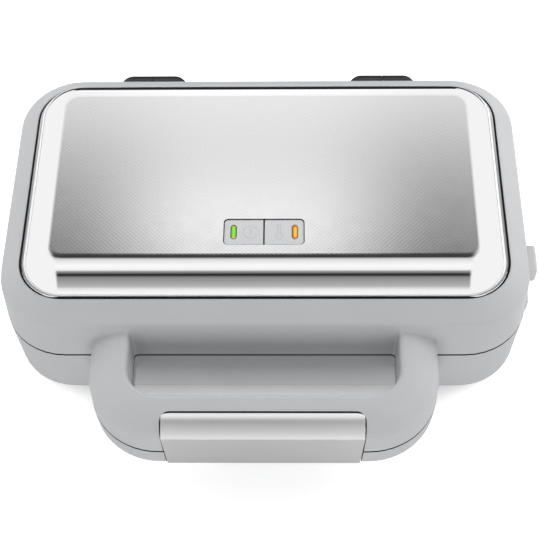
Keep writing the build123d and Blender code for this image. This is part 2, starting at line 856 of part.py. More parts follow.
with BuildPart() as lower_reflector:
    with BuildSketch(level(seam - reflector_back)):
        RectangleRounded(reflector_width, reflector_depth, reflector_corner)
    extrude(amount=reflector_sheet + reflector_rim)
    with BuildSketch(level(seam - reflector_face)):
        RectangleRounded(
            reflector_width - 2 * reflector_sheet, reflector_depth - 2 * reflector_sheet,
            reflector_corner - reflector_sheet,
        )
    extrude(amount=reflector_rim, mode=Mode.SUBTRACT)
    with BuildSketch(level(seam - reflector_back)):
        with GridLocations(2 * boss_x, 2 * boss_y, 2, 2):
            Circle(screw_radius + running_fit)
    extrude(amount=reflector_sheet, mode=Mode.SUBTRACT)

with BuildPart() as lower_reflector_screws:
    for x in (-boss_x, boss_x):
        for y in (-boss_y, boss_y):
            post(x, y, seam - reflector_back - screw_length + running_fit, seam - reflector_face, screw_radius)
            post(x, y, seam - reflector_face, seam - reflector_face + screw_head, screw_head_radius)

with BuildPart() as lower_element_clips:
    for x, y in (
        (-element_reach_x, 0), (element_reach_x, 0),
        (-element_reach_x / 2, -element_reach_y), (element_reach_x / 2, -element_reach_y),
    ):
        along, across = (clip_length / 2, clip_width / 2) if y else (clip_width / 2, clip_length / 2)
        block((x - along, x + along), (y - across, y + across), (seam - reflector_face, seam - element_depth))
    add(element_tube(element_radius + running_fit), mode=Mode.SUBTRACT)


def release_button(side, height):
    """A push button through the right wall, with the hook that holds its plate's lug."""
    far = abs(height - seam) + button_height / 2 + flange_margin
    section = base_section(away(far, side), wall) if side < 0 else lid_section(away(far, side), wall)
    flange_x = section[1] / 2 - button_gap
    near = ledge_back + button_gap
    web_x = ledge_half - lug_clearance - lug_web
    riser_x = mould_half + catch_gap + button_travel
    with BuildPart() as button:
        block(
            (flange_x - flange_thickness, button_reach),
            (button_y - button_width / 2, button_y + button_width / 2),
            (height - button_height / 2, height + button_height / 2),
        )
        outer = button.faces().sort_by(Axis.X)[-1]
        fillet(outer.edges(), button_edge)
        block(
            (flange_x - flange_thickness, flange_x),
            (button_y - button_width / 2 - flange_margin, button_y + button_width / 2 + flange_margin),
            (away(near, side), away(far, side)),
        )
        block(
            (riser_x, flange_x), (button_y - lug_width / 2, button_y + lug_width / 2),
            (away(arm_front, side), away(arm_front + arm_thickness, side)),
        )
        hook_z = (away(lip_front - catch_gap, side), away(lip_front - catch_gap - hook_thickness, side))
        block(
            (riser_x, web_x - lip_reach - catch_gap), (button_y - lug_width / 2, button_y + lug_width / 2),
            (hook_z[1], away(arm_front, side)),
        )
        block(
            (riser_x, web_x - lip_reach + hook_bite), (button_y - lug_width / 2, button_y + lug_width / 2),
            hook_z,
        )
    return button.part, flange_x - flange_thickness


def release_spring(side, flange_face):
    """The coil between the seat's rib and the button's flange."""
    length = flange_face - stop_x - spring_stop - 2 * spring_wire
    start = (stop_x + spring_stop + spring_wire, middle_y + button_y, away(spring_depth, side))
    with BuildPart() as spring:
        with BuildLine():
            coil = Helix(length / spring_turns, length, spring_radius, center=start, direction=(1, 0, 0))
        with BuildSketch(Plane(origin=coil @ 0, z_dir=coil % 0)):
            Circle(spring_wire)
        sweep()
    return spring.part


lower_release_button, lower_flange_face = release_button(-1, lower_button_level)
upper_release_button, upper_flange_face = release_button(1, upper_button_level)
lower_release_spring = release_spring(-1, lower_flange_face)
upper_release_spring = release_spring(1, upper_flange_face)

# Hinges: a base knuckle outside and a lid knuckle inside on each pin
def hinge_bracket(outward):
    """The right hand bracket: outward 1 is the base's, below the seam, and -1 is the lid's, above it."""
    inner_x = hinge_x + outward * knuckle_slit / 2
    side = -outward
    bore = hinge_pin_radius + (tight_fit if outward > 0 else running_fit)
    axis_start = (inner_x, middle_y + hinge_reach, seam)
    with BuildPart() as bracket:
        with BuildSketch(Plane(origin=axis_start, x_dir=(outward, 0, 0), z_dir=(0, -outward, 0))) as half:
            with BuildLine():
                Polyline(
                    (0, 0), (0, knuckle_radius), (knuckle_length, knuckle_radius), (knuckle_length, 0),
                    close=True,
                )
            make_face()
            fillet(half.vertices().sort_by_distance((knuckle_length, knuckle_radius))[0], knuckle_dome)
        revolve(axis=Axis(axis_start, (1, 0, 0)))
        block(
            (inner_x, inner_x + outward * (knuckle_length - knuckle_dome)),
            (seam_depth / 2 - knuckle_radius, hinge_reach),
            (away(seam_gap / 2, side), away(knuckle_radius, side)),
        )
        add(base_outside if outward > 0 else lid_outside, mode=Mode.SUBTRACT)
        with BuildSketch(Plane(origin=axis_start, x_dir=(0, 1, 0), z_dir=(outward, 0, 0))):
            Circle(bore)
        extrude(amount=hinge_pin_reach, mode=Mode.SUBTRACT)
        with BuildSketch(front_plane(hinge_reach - hinge_pin_radius - wall)):
            with Locations((hinge_screw_x(outward), hinge_screw_level(side))):
                Circle(screw_radius + tight_fit)
        extrude(amount=hinge_standoff, mode=Mode.SUBTRACT)
    return bracket.part


with BuildPart() as right_pin:
    with BuildSketch(Plane(
        origin=(hinge_x - knuckle_slit / 2 - hinge_pin_reach + running_fit, middle_y + hinge_reach, seam),
        x_dir=(0, 1, 0), z_dir=(1, 0, 0),
    )):
        Circle(hinge_pin_radius)
    extrude(amount=2 * (hinge_pin_reach - running_fit) + knuckle_slit)

base_hinge_bracket_right, base_hinge_bracket_left = mirrored_pair(hinge_bracket(1))
lid_hinge_bracket_right, lid_hinge_bracket_left = mirrored_pair(hinge_bracket(-1))
hinge_pin_right, hinge_pin_left = mirrored_pair(right_pin.part)


def hinge_screws(outward):
    """Two screws from inside a housing's rear wall into its hinge brackets."""
    side = -outward
    z = hinge_screw_level(side)
    section = base_section(away(ledge_back, side), wall) if side < 0 else lid_section(away(reflector_back, side), wall)
    seat_y = section[2] / 2 - running_fit - (0 if side > 0 else base_taper / 2)
    with BuildPart() as screws:
        for x in (-hinge_screw_x(outward), hinge_screw_x(outward)):
            with BuildSketch(front_plane(hinge_reach - hinge_pin_radius - wall - running_fit)):
                with Locations((x, z)):
                    Circle(screw_radius)
            extrude(amount=hinge_reach - hinge_pin_radius - wall - running_fit - seat_y)
            with BuildSketch(front_plane(seat_y)):
                with Locations((x, z)):
                    Circle(screw_head_radius)
            extrude(amount=screw_head)
    return screws.part


# Cord inlet in the rear wall
inlet_outer = base_section(inlet_level)[2] / 2
inlet_inner = inlet_outer - wall
with BuildPart() as cord_inlet:
    with BuildSketch(Plane.YZ.offset(0)) as half:
        with BuildLine():
            Polyline(
                (middle_y + inlet_inner - catch_gap - inlet_sleeve, inlet_level + inlet_bore),
                (middle_y + inlet_inner - catch_gap - inlet_sleeve, inlet_level + inlet_neck),
                (middle_y + inlet_outer + catch_gap, inlet_level + inlet_neck),
                (middle_y + inlet_outer + catch_gap, inlet_level + inlet_flange),
                (middle_y + inlet_outer + catch_gap + inlet_flange_thickness, inlet_level + inlet_flange - 1),
                (middle_y + inlet_outer + catch_gap + inlet_flange_thickness, inlet_level + inlet_bore),
                close=True,
            )
        make_face()
    revolve(axis=Axis((0, middle_y, inlet_level), (0, 1, 0)))


def foot(x, y):
    """A rubber foot with a stem through the floor."""
    with BuildPart() as rubber:
        post(x, y, 0, base_bottom, foot_radius)
        chamfer(rubber.edges().group_by(Axis.Z)[0], foot_chamfer)
        post(x, y, base_bottom, floor_top + wall / 2, foot_stem)
    return rubber.part


with BuildPart() as terminal_block:
    block(
        (block_x - block_width / 2, block_x + block_width / 2),
        (block_y - block_depth / 2, block_y + block_depth / 2), (floor_top, floor_top + block_height),
    )
    for x in (block_x - block_pitch, block_x, block_x + block_pitch):
        post(x, block_y, floor_top + block_floor, floor_top + block_height, block_bore, Mode.SUBTRACT)

thermostat_top = seam - reflector_back
with BuildPart() as thermostat:
    post(0, 0, thermostat_top - thermostat_height, thermostat_top, thermostat_radius)
    post(
        0, 0, thermostat_top - thermostat_height - thermostat_neck, thermostat_top - thermostat_height,
        thermostat_neck_radius,
    )

fuse_seat = seam + reflector_back
with BuildPart() as thermal_fuse:
    block(
        (-fuse_strap_width / 2, fuse_strap_width / 2),
        (fuse_y - fuse_strap_depth / 2, fuse_y + fuse_strap_depth / 2), (fuse_seat, fuse_seat + fuse_strap),
    )
    with BuildSketch(side_plane(-fuse_length / 2)):
        with Locations((fuse_y, fuse_seat + fuse_strap + fuse_radius - fuse_sunk)):
            Circle(fuse_radius)
    extrude(amount=fuse_length)

with BuildPart() as latch_spring:
    with BuildLine():
        coil = Helix(
            torsion_coil / torsion_turns, torsion_coil, torsion_radius,
            center=(-torsion_coil / 2, middle_y + pivot_y, pivot_z), direction=(1, 0, 0),
        )
    with BuildSketch(Plane(origin=coil @ 0, z_dir=coil % 0)):
        Circle(torsion_wire)
    sweep()

upper_cooking_plate = over_seam(lower_cooking_plate.part)
upper_heating_element = over_seam(lower_heating_element.part)
upper_reflector = over_seam(lower_reflector.part)
upper_element_clips = over_seam(lower_element_clips.part)
upper_plate_brackets = over_seam(lower_plate_brackets.part)
upper_reflector_screws = over_seam(lower_reflector_screws.part)

pieces = {
    "base_housing": base_housing.part,
    "base_handle_cover": handle_cover(base_rim - handle_cover_thickness, base_rim),
    "lower_reflector": lower_reflector.part,
    "lower_reflector_screws": lower_reflector_screws.part,
    "lower_heating_element": lower_heating_element.part,
    "lower_element_clips": lower_element_clips.part,
    "lower_cooking_plate": lower_cooking_plate.part,
    "lower_plate_brackets": lower_plate_brackets.part,
    "base_hinge_bracket_left": base_hinge_bracket_left,
    "base_hinge_bracket_right": base_hinge_bracket_right,
    "base_hinge_screws": hinge_screws(1),
    "hinge_pin_left": hinge_pin_left,
    "hinge_pin_right": hinge_pin_right,
    "cord_inlet": cord_inlet.part,
    "terminal_block": terminal_block.part,
    "thermostat": thermostat.part,
    "foot_front_left": foot(-foot_x, -foot_y),
    "foot_front_right": foot(foot_x, -foot_y),
    "foot_rear_left": foot(-foot_x, foot_y),
    "foot_rear_right": foot(foot_x, foot_y),
    "lower_release_button": lower_release_button,
    "lower_release_spring": lower_release_spring,
    "lid_housing": lid_housing.part,
    "lid_handle_cover": handle_cover(lid_rim, lid_rim + handle_cover_thickness),
    "steel_cover": steel_cover.part,
    "power_tile": indicator_tile(-1),
    "ready_tile": indicator_tile(1),
    "power_lens": indicator_lens(-1),
    "ready_lens": indicator_lens(1),
    "lamp_board": lamp_board.part,
    "indicator_lamps": indicator_lamps.part,
    "upper_reflector": upper_reflector,
    "upper_reflector_screws": upper_reflector_screws,
    "upper_heating_element": upper_heating_element,
    "upper_element_clips": upper_element_clips,
    "upper_cooking_plate": upper_cooking_plate,
    "upper_plate_brackets": upper_plate_brackets,
    "lid_hinge_bracket_left": lid_hinge_bracket_left,
    "lid_hinge_bracket_right": lid_hinge_bracket_right,
    "lid_hinge_screws": hinge_screws(-1),
    "thermal_fuse": thermal_fuse.part,
    "upper_release_button": upper_release_button,
    "upper_release_spring": upper_release_spring,
    "handle_latch": handle_latch.part,
    "latch_pin": latch_pin,
    "latch_spring": latch_spring.part,
}

for name, piece in pieces.items():
    piece.label = name
    export_step(piece, f"parts/{name}.step")
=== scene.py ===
from math import cos, pi, radians, sin

import bmesh
import bpy
from mathutils import Matrix, Vector


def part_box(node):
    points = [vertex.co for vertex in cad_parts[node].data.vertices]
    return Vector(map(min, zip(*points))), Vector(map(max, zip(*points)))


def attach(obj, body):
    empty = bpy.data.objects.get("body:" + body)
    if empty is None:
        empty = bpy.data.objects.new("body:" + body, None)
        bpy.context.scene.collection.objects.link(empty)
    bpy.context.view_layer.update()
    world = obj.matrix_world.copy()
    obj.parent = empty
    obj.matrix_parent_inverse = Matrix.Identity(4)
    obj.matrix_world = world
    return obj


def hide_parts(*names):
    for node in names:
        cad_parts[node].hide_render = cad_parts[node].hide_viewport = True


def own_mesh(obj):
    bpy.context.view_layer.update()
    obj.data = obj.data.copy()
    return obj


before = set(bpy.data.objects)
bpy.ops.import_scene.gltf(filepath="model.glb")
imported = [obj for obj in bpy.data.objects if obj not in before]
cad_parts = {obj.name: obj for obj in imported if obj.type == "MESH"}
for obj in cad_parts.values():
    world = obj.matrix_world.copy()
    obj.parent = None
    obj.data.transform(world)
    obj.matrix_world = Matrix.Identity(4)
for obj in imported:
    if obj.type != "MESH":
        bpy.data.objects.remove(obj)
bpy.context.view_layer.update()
mm = 0.001
bpy.context.scene.view_settings.view_transform = "Standard"


# working with bpy.ops

def restEverything():
    if bpy.context.mode != "OBJECT":
        bpy.ops.object.mode_set(mode="OBJECT")
    bpy.ops.object.select_all(action="DESELECT")


def workOn(piece):
    restEverything()
    piece.select_set(True)
    bpy.context.view_layer.objects.active = piece


def editPiece(piece):
    workOn(piece)
    bpy.ops.object.mode_set(mode="EDIT")
    bpy.ops.mesh.select_all(action="DESELECT")


def stopEditing():
    bpy.ops.object.mode_set(mode="OBJECT")


def pickEdges(piece, test):
    # test gets the two ends of an edge
    bpy.ops.mesh.select_mode(type="EDGE")
    bpy.ops.mesh.select_all(action="DESELECT")
    shape = bmesh.from_edit_mesh(piece.data)
    for edge in shape.edges:
        edge.select_set(bool(test(edge.verts[0].co, edge.verts[1].co)))
    bmesh.update_edit_mesh(piece.data)


def pickPoints(piece, test):
    bpy.ops.mesh.select_mode(type="VERT")
    bpy.ops.mesh.select_all(action="DESELECT")
    shape = bmesh.from_edit_mesh(piece.data)
    for point in shape.verts:
        point.select_set(bool(test(point.co)))
    shape.select_flush_mode()
    bmesh.update_edit_mesh(piece.data)


def applyModifier(piece, kind, **settings):
    workOn(piece)
    modifier = piece.modifiers.new(kind.title(), kind)
    for name, value in settings.items():
        setattr(modifier, name, value)
    bpy.ops.object.modifier_apply(modifier=modifier.name)


def softEdges(piece, width, segments=3, angle=30):
    applyModifier(
        piece, "BEVEL", width=width, segments=segments, limit_method="ANGLE",
        angle_limit=radians(angle), use_clamp_overlap=True, harden_normals=False,
    )


def smoothPiece(piece, angle=35):
    workOn(piece)
    bpy.ops.object.shade_smooth_by_angle(angle=radians(angle))
    applyModifier(piece, "WEIGHTED_NORMAL", mode="FACE_AREA", weight=100, keep_sharp=True)


def cutWith(piece, tool):
    # the tool goes once it has cut
    applyModifier(piece, "BOOLEAN", object=tool, operation="DIFFERENCE", solver="EXACT")
    bpy.data.objects.remove(tool)


def placeMesh(piece):
    # the object goes to the origin and its place into the mesh
    workOn(piece)
    bpy.ops.object.transform_apply(location=True, rotation=True, scale=True)


def facesOutward(piece):
    editPiece(piece)
    bpy.ops.mesh.select_all(action="SELECT")
    bpy.ops.mesh.remove_doubles(threshold=0.002 * mm)
    bpy.ops.mesh.normals_make_consistent(inside=False)
    stopEditing()


def slideToRing(point, before, after):
    # a point of one rounded rectangle goes to the same turn of the same corner of the next
    places = []
    for centre, width, depth, corner, height in (before, after):
        side = 1 if point.co.x > before[0][0] else -1
        end = 1 if point.co.y > before[0][1] else -1
        places.append(Vector((
            centre[0] + side * (width / 2 - corner), centre[1] + end * (depth / 2 - corner), height,
        )))
    offset = (point.co - places[0]) * after[3] / before[3]
    point.co = places[1] + Vector((offset.x, offset.y, 0))


def loftRings(name, rings, steps=10, closeStart=False, closeEnd=False, closeLoop=False):
    # each ring is a centre, a width, a depth, a corner radius and a height
    centre, width, depth, corner, height = rings[0]
    restEverything()
    bpy.ops.mesh.primitive_plane_add(size=1, location=(centre[0], centre[1], height))
    piece = bpy.context.active_object
    piece.name = name
    piece.scale = (width, depth, 1)
    placeMesh(piece)
    editPiece(piece)
    bpy.ops.mesh.select_mode(type="VERT")
    bpy.ops.mesh.select_all(action="SELECT")
    bpy.ops.mesh.bevel(offset=corner, segments=steps, affect="VERTICES", clamp_overlap=False)
    bpy.ops.mesh.select_all(action="SELECT")
    bpy.ops.mesh.delete(type="ONLY_FACE")
    bpy.ops.mesh.select_mode(type="EDGE")
    bpy.ops.mesh.select_all(action="SELECT")
    if closeStart:
        bpy.ops.mesh.edge_face_add()
    for before, after in zip(rings, rings[1:] + (rings[:1] if closeLoop else [])):
        bpy.ops.mesh.extrude_edges_move()
        shape = bmesh.from_edit_mesh(piece.data)
        for point in shape.verts:
            if point.select:
                slideToRing(point, before, after)
        bmesh.update_edit_mesh(piece.data)
    if closeEnd:
        bpy.ops.mesh.edge_face_add()
    stopEditing()
    facesOutward(piece)
    return piece


def finishPiece(piece, body, material, slotName, *nodes):
    piece.data.materials.clear()
    piece.data.materials.append(material)
    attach(piece, body)
    if nodes:
        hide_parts(*nodes)


# camera, floor and light

cameraSetup = {
    "place": (15.3 * mm, -401.75 * mm, 644.8 * mm),
    "elevation": 57.06,
    "yaw": -1.90,
    "roll": -1.66,
    "lens": 84.8,
}


def makeCamera(setup):
    tilt, yaw, roll = (radians(setup[key]) for key in ("elevation", "yaw", "roll"))
    ahead = Vector((sin(yaw) * cos(tilt), cos(yaw) * cos(tilt), -sin(tilt)))
    level = Vector((cos(yaw), -sin(yaw), 0))
    upright = level.cross(ahead)
    right = level * cos(roll) + upright * sin(roll)
    up = upright * cos(roll) - level * sin(roll)
    data = bpy.data.cameras.new("camera")
    data.lens = setup["lens"]
    data.sensor_width = 36
    camera = bpy.data.objects.new("camera", data)
    bpy.context.scene.collection.objects.link(camera)
    turn = Matrix((right, up, -ahead)).transposed().to_4x4()
    camera.matrix_world = Matrix.Translation(setup["place"]) @ turn
    bpy.context.scene.camera = camera


makeCamera(cameraSetup)
print("camera ready")


def addNode(tree, kind, **settings):
    node = tree.nodes.new(kind)
    for name, value in settings.items():
        if name == "inputs":
            for socket, content in value.items():
                if isinstance(content, bpy.types.NodeSocket):
                    tree.links.new(content, node.inputs[socket])
                else:
                    node.inputs[socket].default_value = content
        else:
            setattr(node, name, value)
    return node


def mathNode(tree, operation, *values):
    inputs = {number: value for number, value in enumerate(values)}
    return addNode(tree, "ShaderNodeMath", operation=operation, inputs=inputs).outputs[0]


def rampNode(tree, factor, stops, interpolation="LINEAR"):
    # stops are pairs of a position and a grey level or a colour
    ramp = addNode(tree, "ShaderNodeValToRGB", inputs={0: factor})
    ramp.color_ramp.interpolation = interpolation
    points = ramp.color_ramp.elements
    while len(points) < len(stops):
        points.new(0.5)
    for point, (position, colour) in zip(points, sorted(stops)):
        point.position = position
        point.color = (colour, colour, colour, 1) if isinstance(colour, float) else (*colour, 1)
    return ramp.outputs[0]


studio = {
    "level": 0.36,          # what the diffuse surfaces get from all round
    "background": 1.0,
    # what polished metal mirrors, from the rear horizon (0) over the top (0.5) to the front horizon (1)
    "overhead": [
        (0.0, 0.02), (0.045, 0.02), (0.06, 1.2), (0.245, 1.18), (0.262, 1.0), (0.277, 0.93),
        (0.290, 0.78), (0.302, 1.12), (0.3125, 1.1), (0.3185, 0.98), (0.325, 0.05), (0.345, 0.04),
        (0.353, 0.60), (0.367, 0.88), (0.408, 1.1), (0.443, 1.05), (0.456, 0.80), (0.463, 0.34),
        (0.480, 0.20), (0.490, 0.03), (0.508, 0.03), (0.522, 0.22), (0.540, 0.31), (0.632, 0.46),
        (0.690, 0.56), (0.723, 0.80), (0.80, 1.0), (0.92, 1.08),
    ],
    "besideTheRear": [
        (0.0, 0.02), (0.045, 0.02), (0.06, 1.1), (0.262, 1.0), (0.277, 0.76), (0.290, 0.48),
        (0.302, 0.34), (0.314, 0.23), (0.322, 0.05),
    ],
    "softboxMiddle": -0.032,
    "softboxFade": (0.035, 0.15),
    "sideLevel": 1.04,
    "sideStart": (0.190, 0.250),
}


def makeWorld(setup):
    world = bpy.data.worlds.new("studio")
    bpy.context.scene.world = world
    world.use_nodes = True
    tree = world.node_tree
    tree.nodes.clear()
    direction = addNode(tree, "ShaderNodeTexCoord").outputs["Generated"]
    parts = addNode(tree, "ShaderNodeSeparateXYZ", inputs={0: direction})
    across, back, up = parts.outputs[0], parts.outputs[1], parts.outputs[2]
    overTop = mathNode(tree, "DIVIDE", mathNode(tree, "ARCTAN2", up, back), pi)
    bands = rampNode(tree, overTop, setup["overhead"])
    dimmer = rampNode(tree, overTop, setup["besideTheRear"])
    aside = mathNode(tree, "ABSOLUTE", mathNode(tree, "SUBTRACT", across, setup["softboxMiddle"]))
    faded = rampNode(tree, aside, list(zip(setup["softboxFade"], (0.0, 1.0))), "EASE")
    atRear = rampNode(tree, overTop, [(0.332, 1.0), (0.340, 0.0)])
    beside = mathNode(tree, "MULTIPLY", faded, atRear)
    far = rampNode(tree, aside, list(zip(setup["sideStart"], (0.0, 1.0))), "EASE")
    middle = addNode(tree, "ShaderNodeMix", data_type="RGBA", inputs={0: beside, 6: bands, 7: dimmer}).outputs[2]
    mirrored = addNode(tree, "ShaderNodeMix", data_type="RGBA", inputs={
        0: far, 6: middle, 7: (setup["sideLevel"],) * 3 + (1,),
    }).outputs[2]
    paths = addNode(tree, "ShaderNodeLightPath")
    plain = addNode(tree, "ShaderNodeBackground", inputs={0: (1, 1, 1, 1), 1: setup["level"]})
    glossy = addNode(tree, "ShaderNodeBackground", inputs={0: mirrored, 1: 1.0})
    white = addNode(tree, "ShaderNodeBackground", inputs={0: (1, 1, 1, 1), 1: setup["background"]})
    first = addNode(tree, "ShaderNodeMixShader", inputs={
        0: paths.outputs["Is Glossy Ray"], 1: plain.outputs[0], 2: glossy.outputs[0],
    })
    seen = mathNode(tree, "MAXIMUM", paths.outputs["Is Camera Ray"], paths.outputs["Is Transmission Ray"])
    second = addNode(tree, "ShaderNodeMixShader", inputs={0: seen, 1: first.outputs[0], 2: white.outputs[0]})
    addNode(tree, "ShaderNodeOutputWorld", inputs={0: second.outputs[0]})


makeWorld(studio)

lamps = {
    # name: place, where it points, size, watts
    "leftSoftbox": ((-0.80, 0.35, 0.50), (0, 0, 0.05), 0.7, 4.7),
    "rightSoftbox": ((0.80, 0.35, 0.50), (0, 0, 0.05), 0.7, 6.4),
    "topSoftbox": ((0, 0.05, 1.2), (0, 0, 0), 0.9, 2.0),
    "rearSoftbox": ((0, 1.0, 0.45), (0, 0, 0.05), 0.6, 1.9),
    "frontSoftbox": ((0, -1.3, 0.26), (0, -0.1, 0.05), 0.5, 6.4),
}


def makeLamp(name, place, target, size, watts):
    data = bpy.data.lights.new(name, "AREA")
    data.shape = "SQUARE"
    data.size = size
    data.energy = watts
    lamp = bpy.data.objects.new(name, data)
    bpy.context.scene.collection.objects.link(lamp)
    lamp.location = place
    lamp.rotation_euler = (Vector(target) - Vector(place)).to_track_quat("-Z", "Y").to_euler()
    lamp.visible_glossy = False


for name, values in lamps.items():
    makeLamp(name, *values)


def makeFloor():
    restEverything()
    bpy.ops.mesh.primitive_plane_add(size=6, location=(0, 0, 0))
    floor = bpy.context.active_object
    floor.name = "floor"
    material = bpy.data.materials.new("paleFloor")
    material.use_nodes = True
    tree = material.node_tree
    tree.nodes.clear()
    matte = addNode(tree, "ShaderNodeBsdfDiffuse", inputs={0: (0.86, 0.86, 0.86, 1)})
    place = addNode(tree, "ShaderNodeTexCoord").outputs["Object"]
    spread = addNode(tree, "ShaderNodeVectorMath", operation="MULTIPLY", inputs={0: place, 1: (1 / 0.155, 1 / 0.13, 0)})
    reach = addNode(tree, "ShaderNodeVectorMath", operation="LENGTH", inputs={0: spread.outputs[0]}).outputs["Value"]
    # painted light: for the camera the floor glows faintly in the oval round the object, where its shadow stays, and
    # more beyond it, lifting the floor's shadow there
    level = rampNode(tree, mathNode(tree, "MULTIPLY", reach, 0.5), [(0.35, 0.22), (0.46, 0.56)], "EASE")
    glow = addNode(tree, "ShaderNodeEmission", inputs={0: (1, 1, 1, 1), 1: level})
    both = addNode(tree, "ShaderNodeAddShader", inputs={0: matte.outputs[0], 1: glow.outputs[0]})
    paths = addNode(tree, "ShaderNodeLightPath")
    seen = addNode(tree, "ShaderNodeMixShader", inputs={
        0: paths.outputs["Is Camera Ray"], 1: matte.outputs[0], 2: both.outputs[0],
    })
    # polished metal mirrors the ground behind the object as dark
    dark = addNode(tree, "ShaderNodeBsdfDiffuse", inputs={0: (0.03, 0.03, 0.03, 1)})
    parts = addNode(tree, "ShaderNodeSeparateXYZ", inputs={0: place})
    past = mathNode(tree, "SUBTRACT", parts.outputs[1], mathNode(tree, "ABSOLUTE", parts.outputs[0]))
    behind = rampNode(tree, past, [(0.08, 0.0), (0.14, 1.0)])
    mirrored = mathNode(tree, "MULTIPLY", behind, paths.outputs["Is Glossy Ray"])
    result = addNode(tree, "ShaderNodeMixShader", inputs={0: mirrored, 1: seen.outputs[0], 2: dark.outputs[0]})
    addNode(tree, "ShaderNodeOutputMaterial", inputs={0: result.outputs[0]})
    floor.data.materials.append(material)


makeFloor()
print("studio ready")


# finishes

def newFinish(name, **values):
    material = bpy.data.materials.new(name)
    material.use_nodes = True
    tree = material.node_tree
    shader = tree.nodes["Principled BSDF"]
    for socket, value in values.items():
        shader.inputs[socket.replace("_", " ")].default_value = value
    return material, tree, shader


def grainBump(tree, shader, size, depth):
    # fine grain, size and depth in metres
    place = addNode(tree, "ShaderNodeTexCoord").outputs["Object"]
    grain = addNode(tree, "ShaderNodeTexNoise", inputs={"Vector": place, "Scale": 1 / size, "Detail": 3.0})
    bump = addNode(tree, "ShaderNodeBump", inputs={
        "Height": grain.outputs[0], "Distance": depth, "Strength": 1.0,
    })
    tree.links.new(bump.outputs[0], shader.inputs["Normal"])
    return place, grain.outputs[0]


def shadesOf(tree, shader, place, size, dark, light, socket="Base Color"):
    # a slow drift between two colours or two levels
    drift = addNode(tree, "ShaderNodeTexNoise", inputs={"Vector": place, "Scale": 1 / size, "Detail": 2.0})
    colour = rampNode(tree, drift.outputs[0], [(0.3, dark), (0.7, light)])
    tree.links.new(colour, shader.inputs[socket])


def plasticFinish(name, dark, light, gloss, grain=0.35 * mm, depth=0.012 * mm, shine=0.5):
    material, tree, shader = newFinish(name, Roughness=gloss, Specular_IOR_Level=shine)
    place = grainBump(tree, shader, grain, depth)[0]
    shadesOf(tree, shader, place, 60 * mm, dark, light)
    shadesOf(tree, shader, place, 9 * mm, gloss - 0.03, gloss + 0.04, "Roughness")
    return material


latchPocket = {
    "side": 52.4 * mm,          # half its width at its top, which leans in towards its bottom
    "top": 68.0 * mm,
    "lean": 0.0404,
    "rear": -113.15 * mm,
    "corner": 5.4 * mm,
    "bottom": 31.6 * mm,
}


def housingFinish(dark, light, gloss, seam, pocket):
    # grey moulding with painted shade: its two parting faces at the seam and the walls of the latch's pocket are
    # painted near-black, standing in for the shade in those gaps
    material, tree, shader = newFinish("greyMoulding", Roughness=gloss)
    place = grainBump(tree, shader, 0.35 * mm, 0.012 * mm)[0]
    shadesOf(tree, shader, place, 9 * mm, gloss - 0.03, gloss + 0.04, "Roughness")
    drift = addNode(tree, "ShaderNodeTexNoise", inputs={"Vector": place, "Scale": 1 / (60 * mm), "Detail": 2.0})
    grey = rampNode(tree, drift.outputs[0], [(0.3, dark), (0.7, light)])
    across, back, height = addNode(tree, "ShaderNodeSeparateXYZ", inputs={0: place}).outputs
    overTop = mathNode(tree, "SUBTRACT", height, pocket["top"])
    wall = mathNode(tree, "MULTIPLY_ADD", overTop, pocket["lean"], pocket["side"])
    squares = []
    for past in (
        mathNode(tree, "SUBTRACT", mathNode(tree, "ABSOLUTE", across), wall),
        mathNode(tree, "SUBTRACT", back, pocket["rear"]),
    ):
        beyond = mathNode(tree, "MAXIMUM", mathNode(tree, "ADD", past, pocket["corner"]), 0.0)
        squares.append(mathNode(tree, "MULTIPLY", beyond, beyond))
    reach = mathNode(tree, "SQRT", mathNode(tree, "ADD", *squares))
    outside = mathNode(
        tree, "MAXIMUM", mathNode(tree, "SUBTRACT", reach, pocket["corner"]),
        mathNode(tree, "SUBTRACT", pocket["bottom"], height),
    )
    # painted shade: near-black over the latch pocket's walls and over the parting faces at the seam
    paintedPocketShade = rampNode(tree, mathNode(tree, "DIVIDE", outside, mm), [(0.0, 1.0), (0.05, 0.0)])
    away = mathNode(tree, "DIVIDE", mathNode(tree, "ABSOLUTE", mathNode(tree, "SUBTRACT", height, seam)), mm)
    paintedSeamShade = rampNode(tree, away, [(0.68, 1.0), (0.78, 0.0)])
    paintedShade = mathNode(tree, "MAXIMUM", paintedSeamShade, paintedPocketShade)
    colour = addNode(tree, "ShaderNodeMix", data_type="RGBA", inputs={0: paintedShade, 6: grey, 7: (0.01, 0.01, 0.011, 1)})
    tree.links.new(colour.outputs[2], shader.inputs["Base Color"])
    return material


def metalFinish(name, dark, light, gloss, grain=0.5 * mm, depth=0.01 * mm):
    material, tree, shader = newFinish(name, Metallic=1.0, Roughness=gloss)
    place = grainBump(tree, shader, grain, depth)[0]
    shadesOf(tree, shader, place, 30 * mm, dark, light)
    shadesOf(tree, shader, place, 6 * mm, gloss - 0.04, gloss + 0.05, "Roughness")
    return material


linenShape = {
    "pitch": 1.7 * mm,
    "depth": 0.0010 * mm,
    "middle": (0, 23.0 * mm),       # the flat's middle and half size, where the weave is pressed in
    "half": (111 * mm, 54.0 * mm),
    "fade": 4 * mm,
}


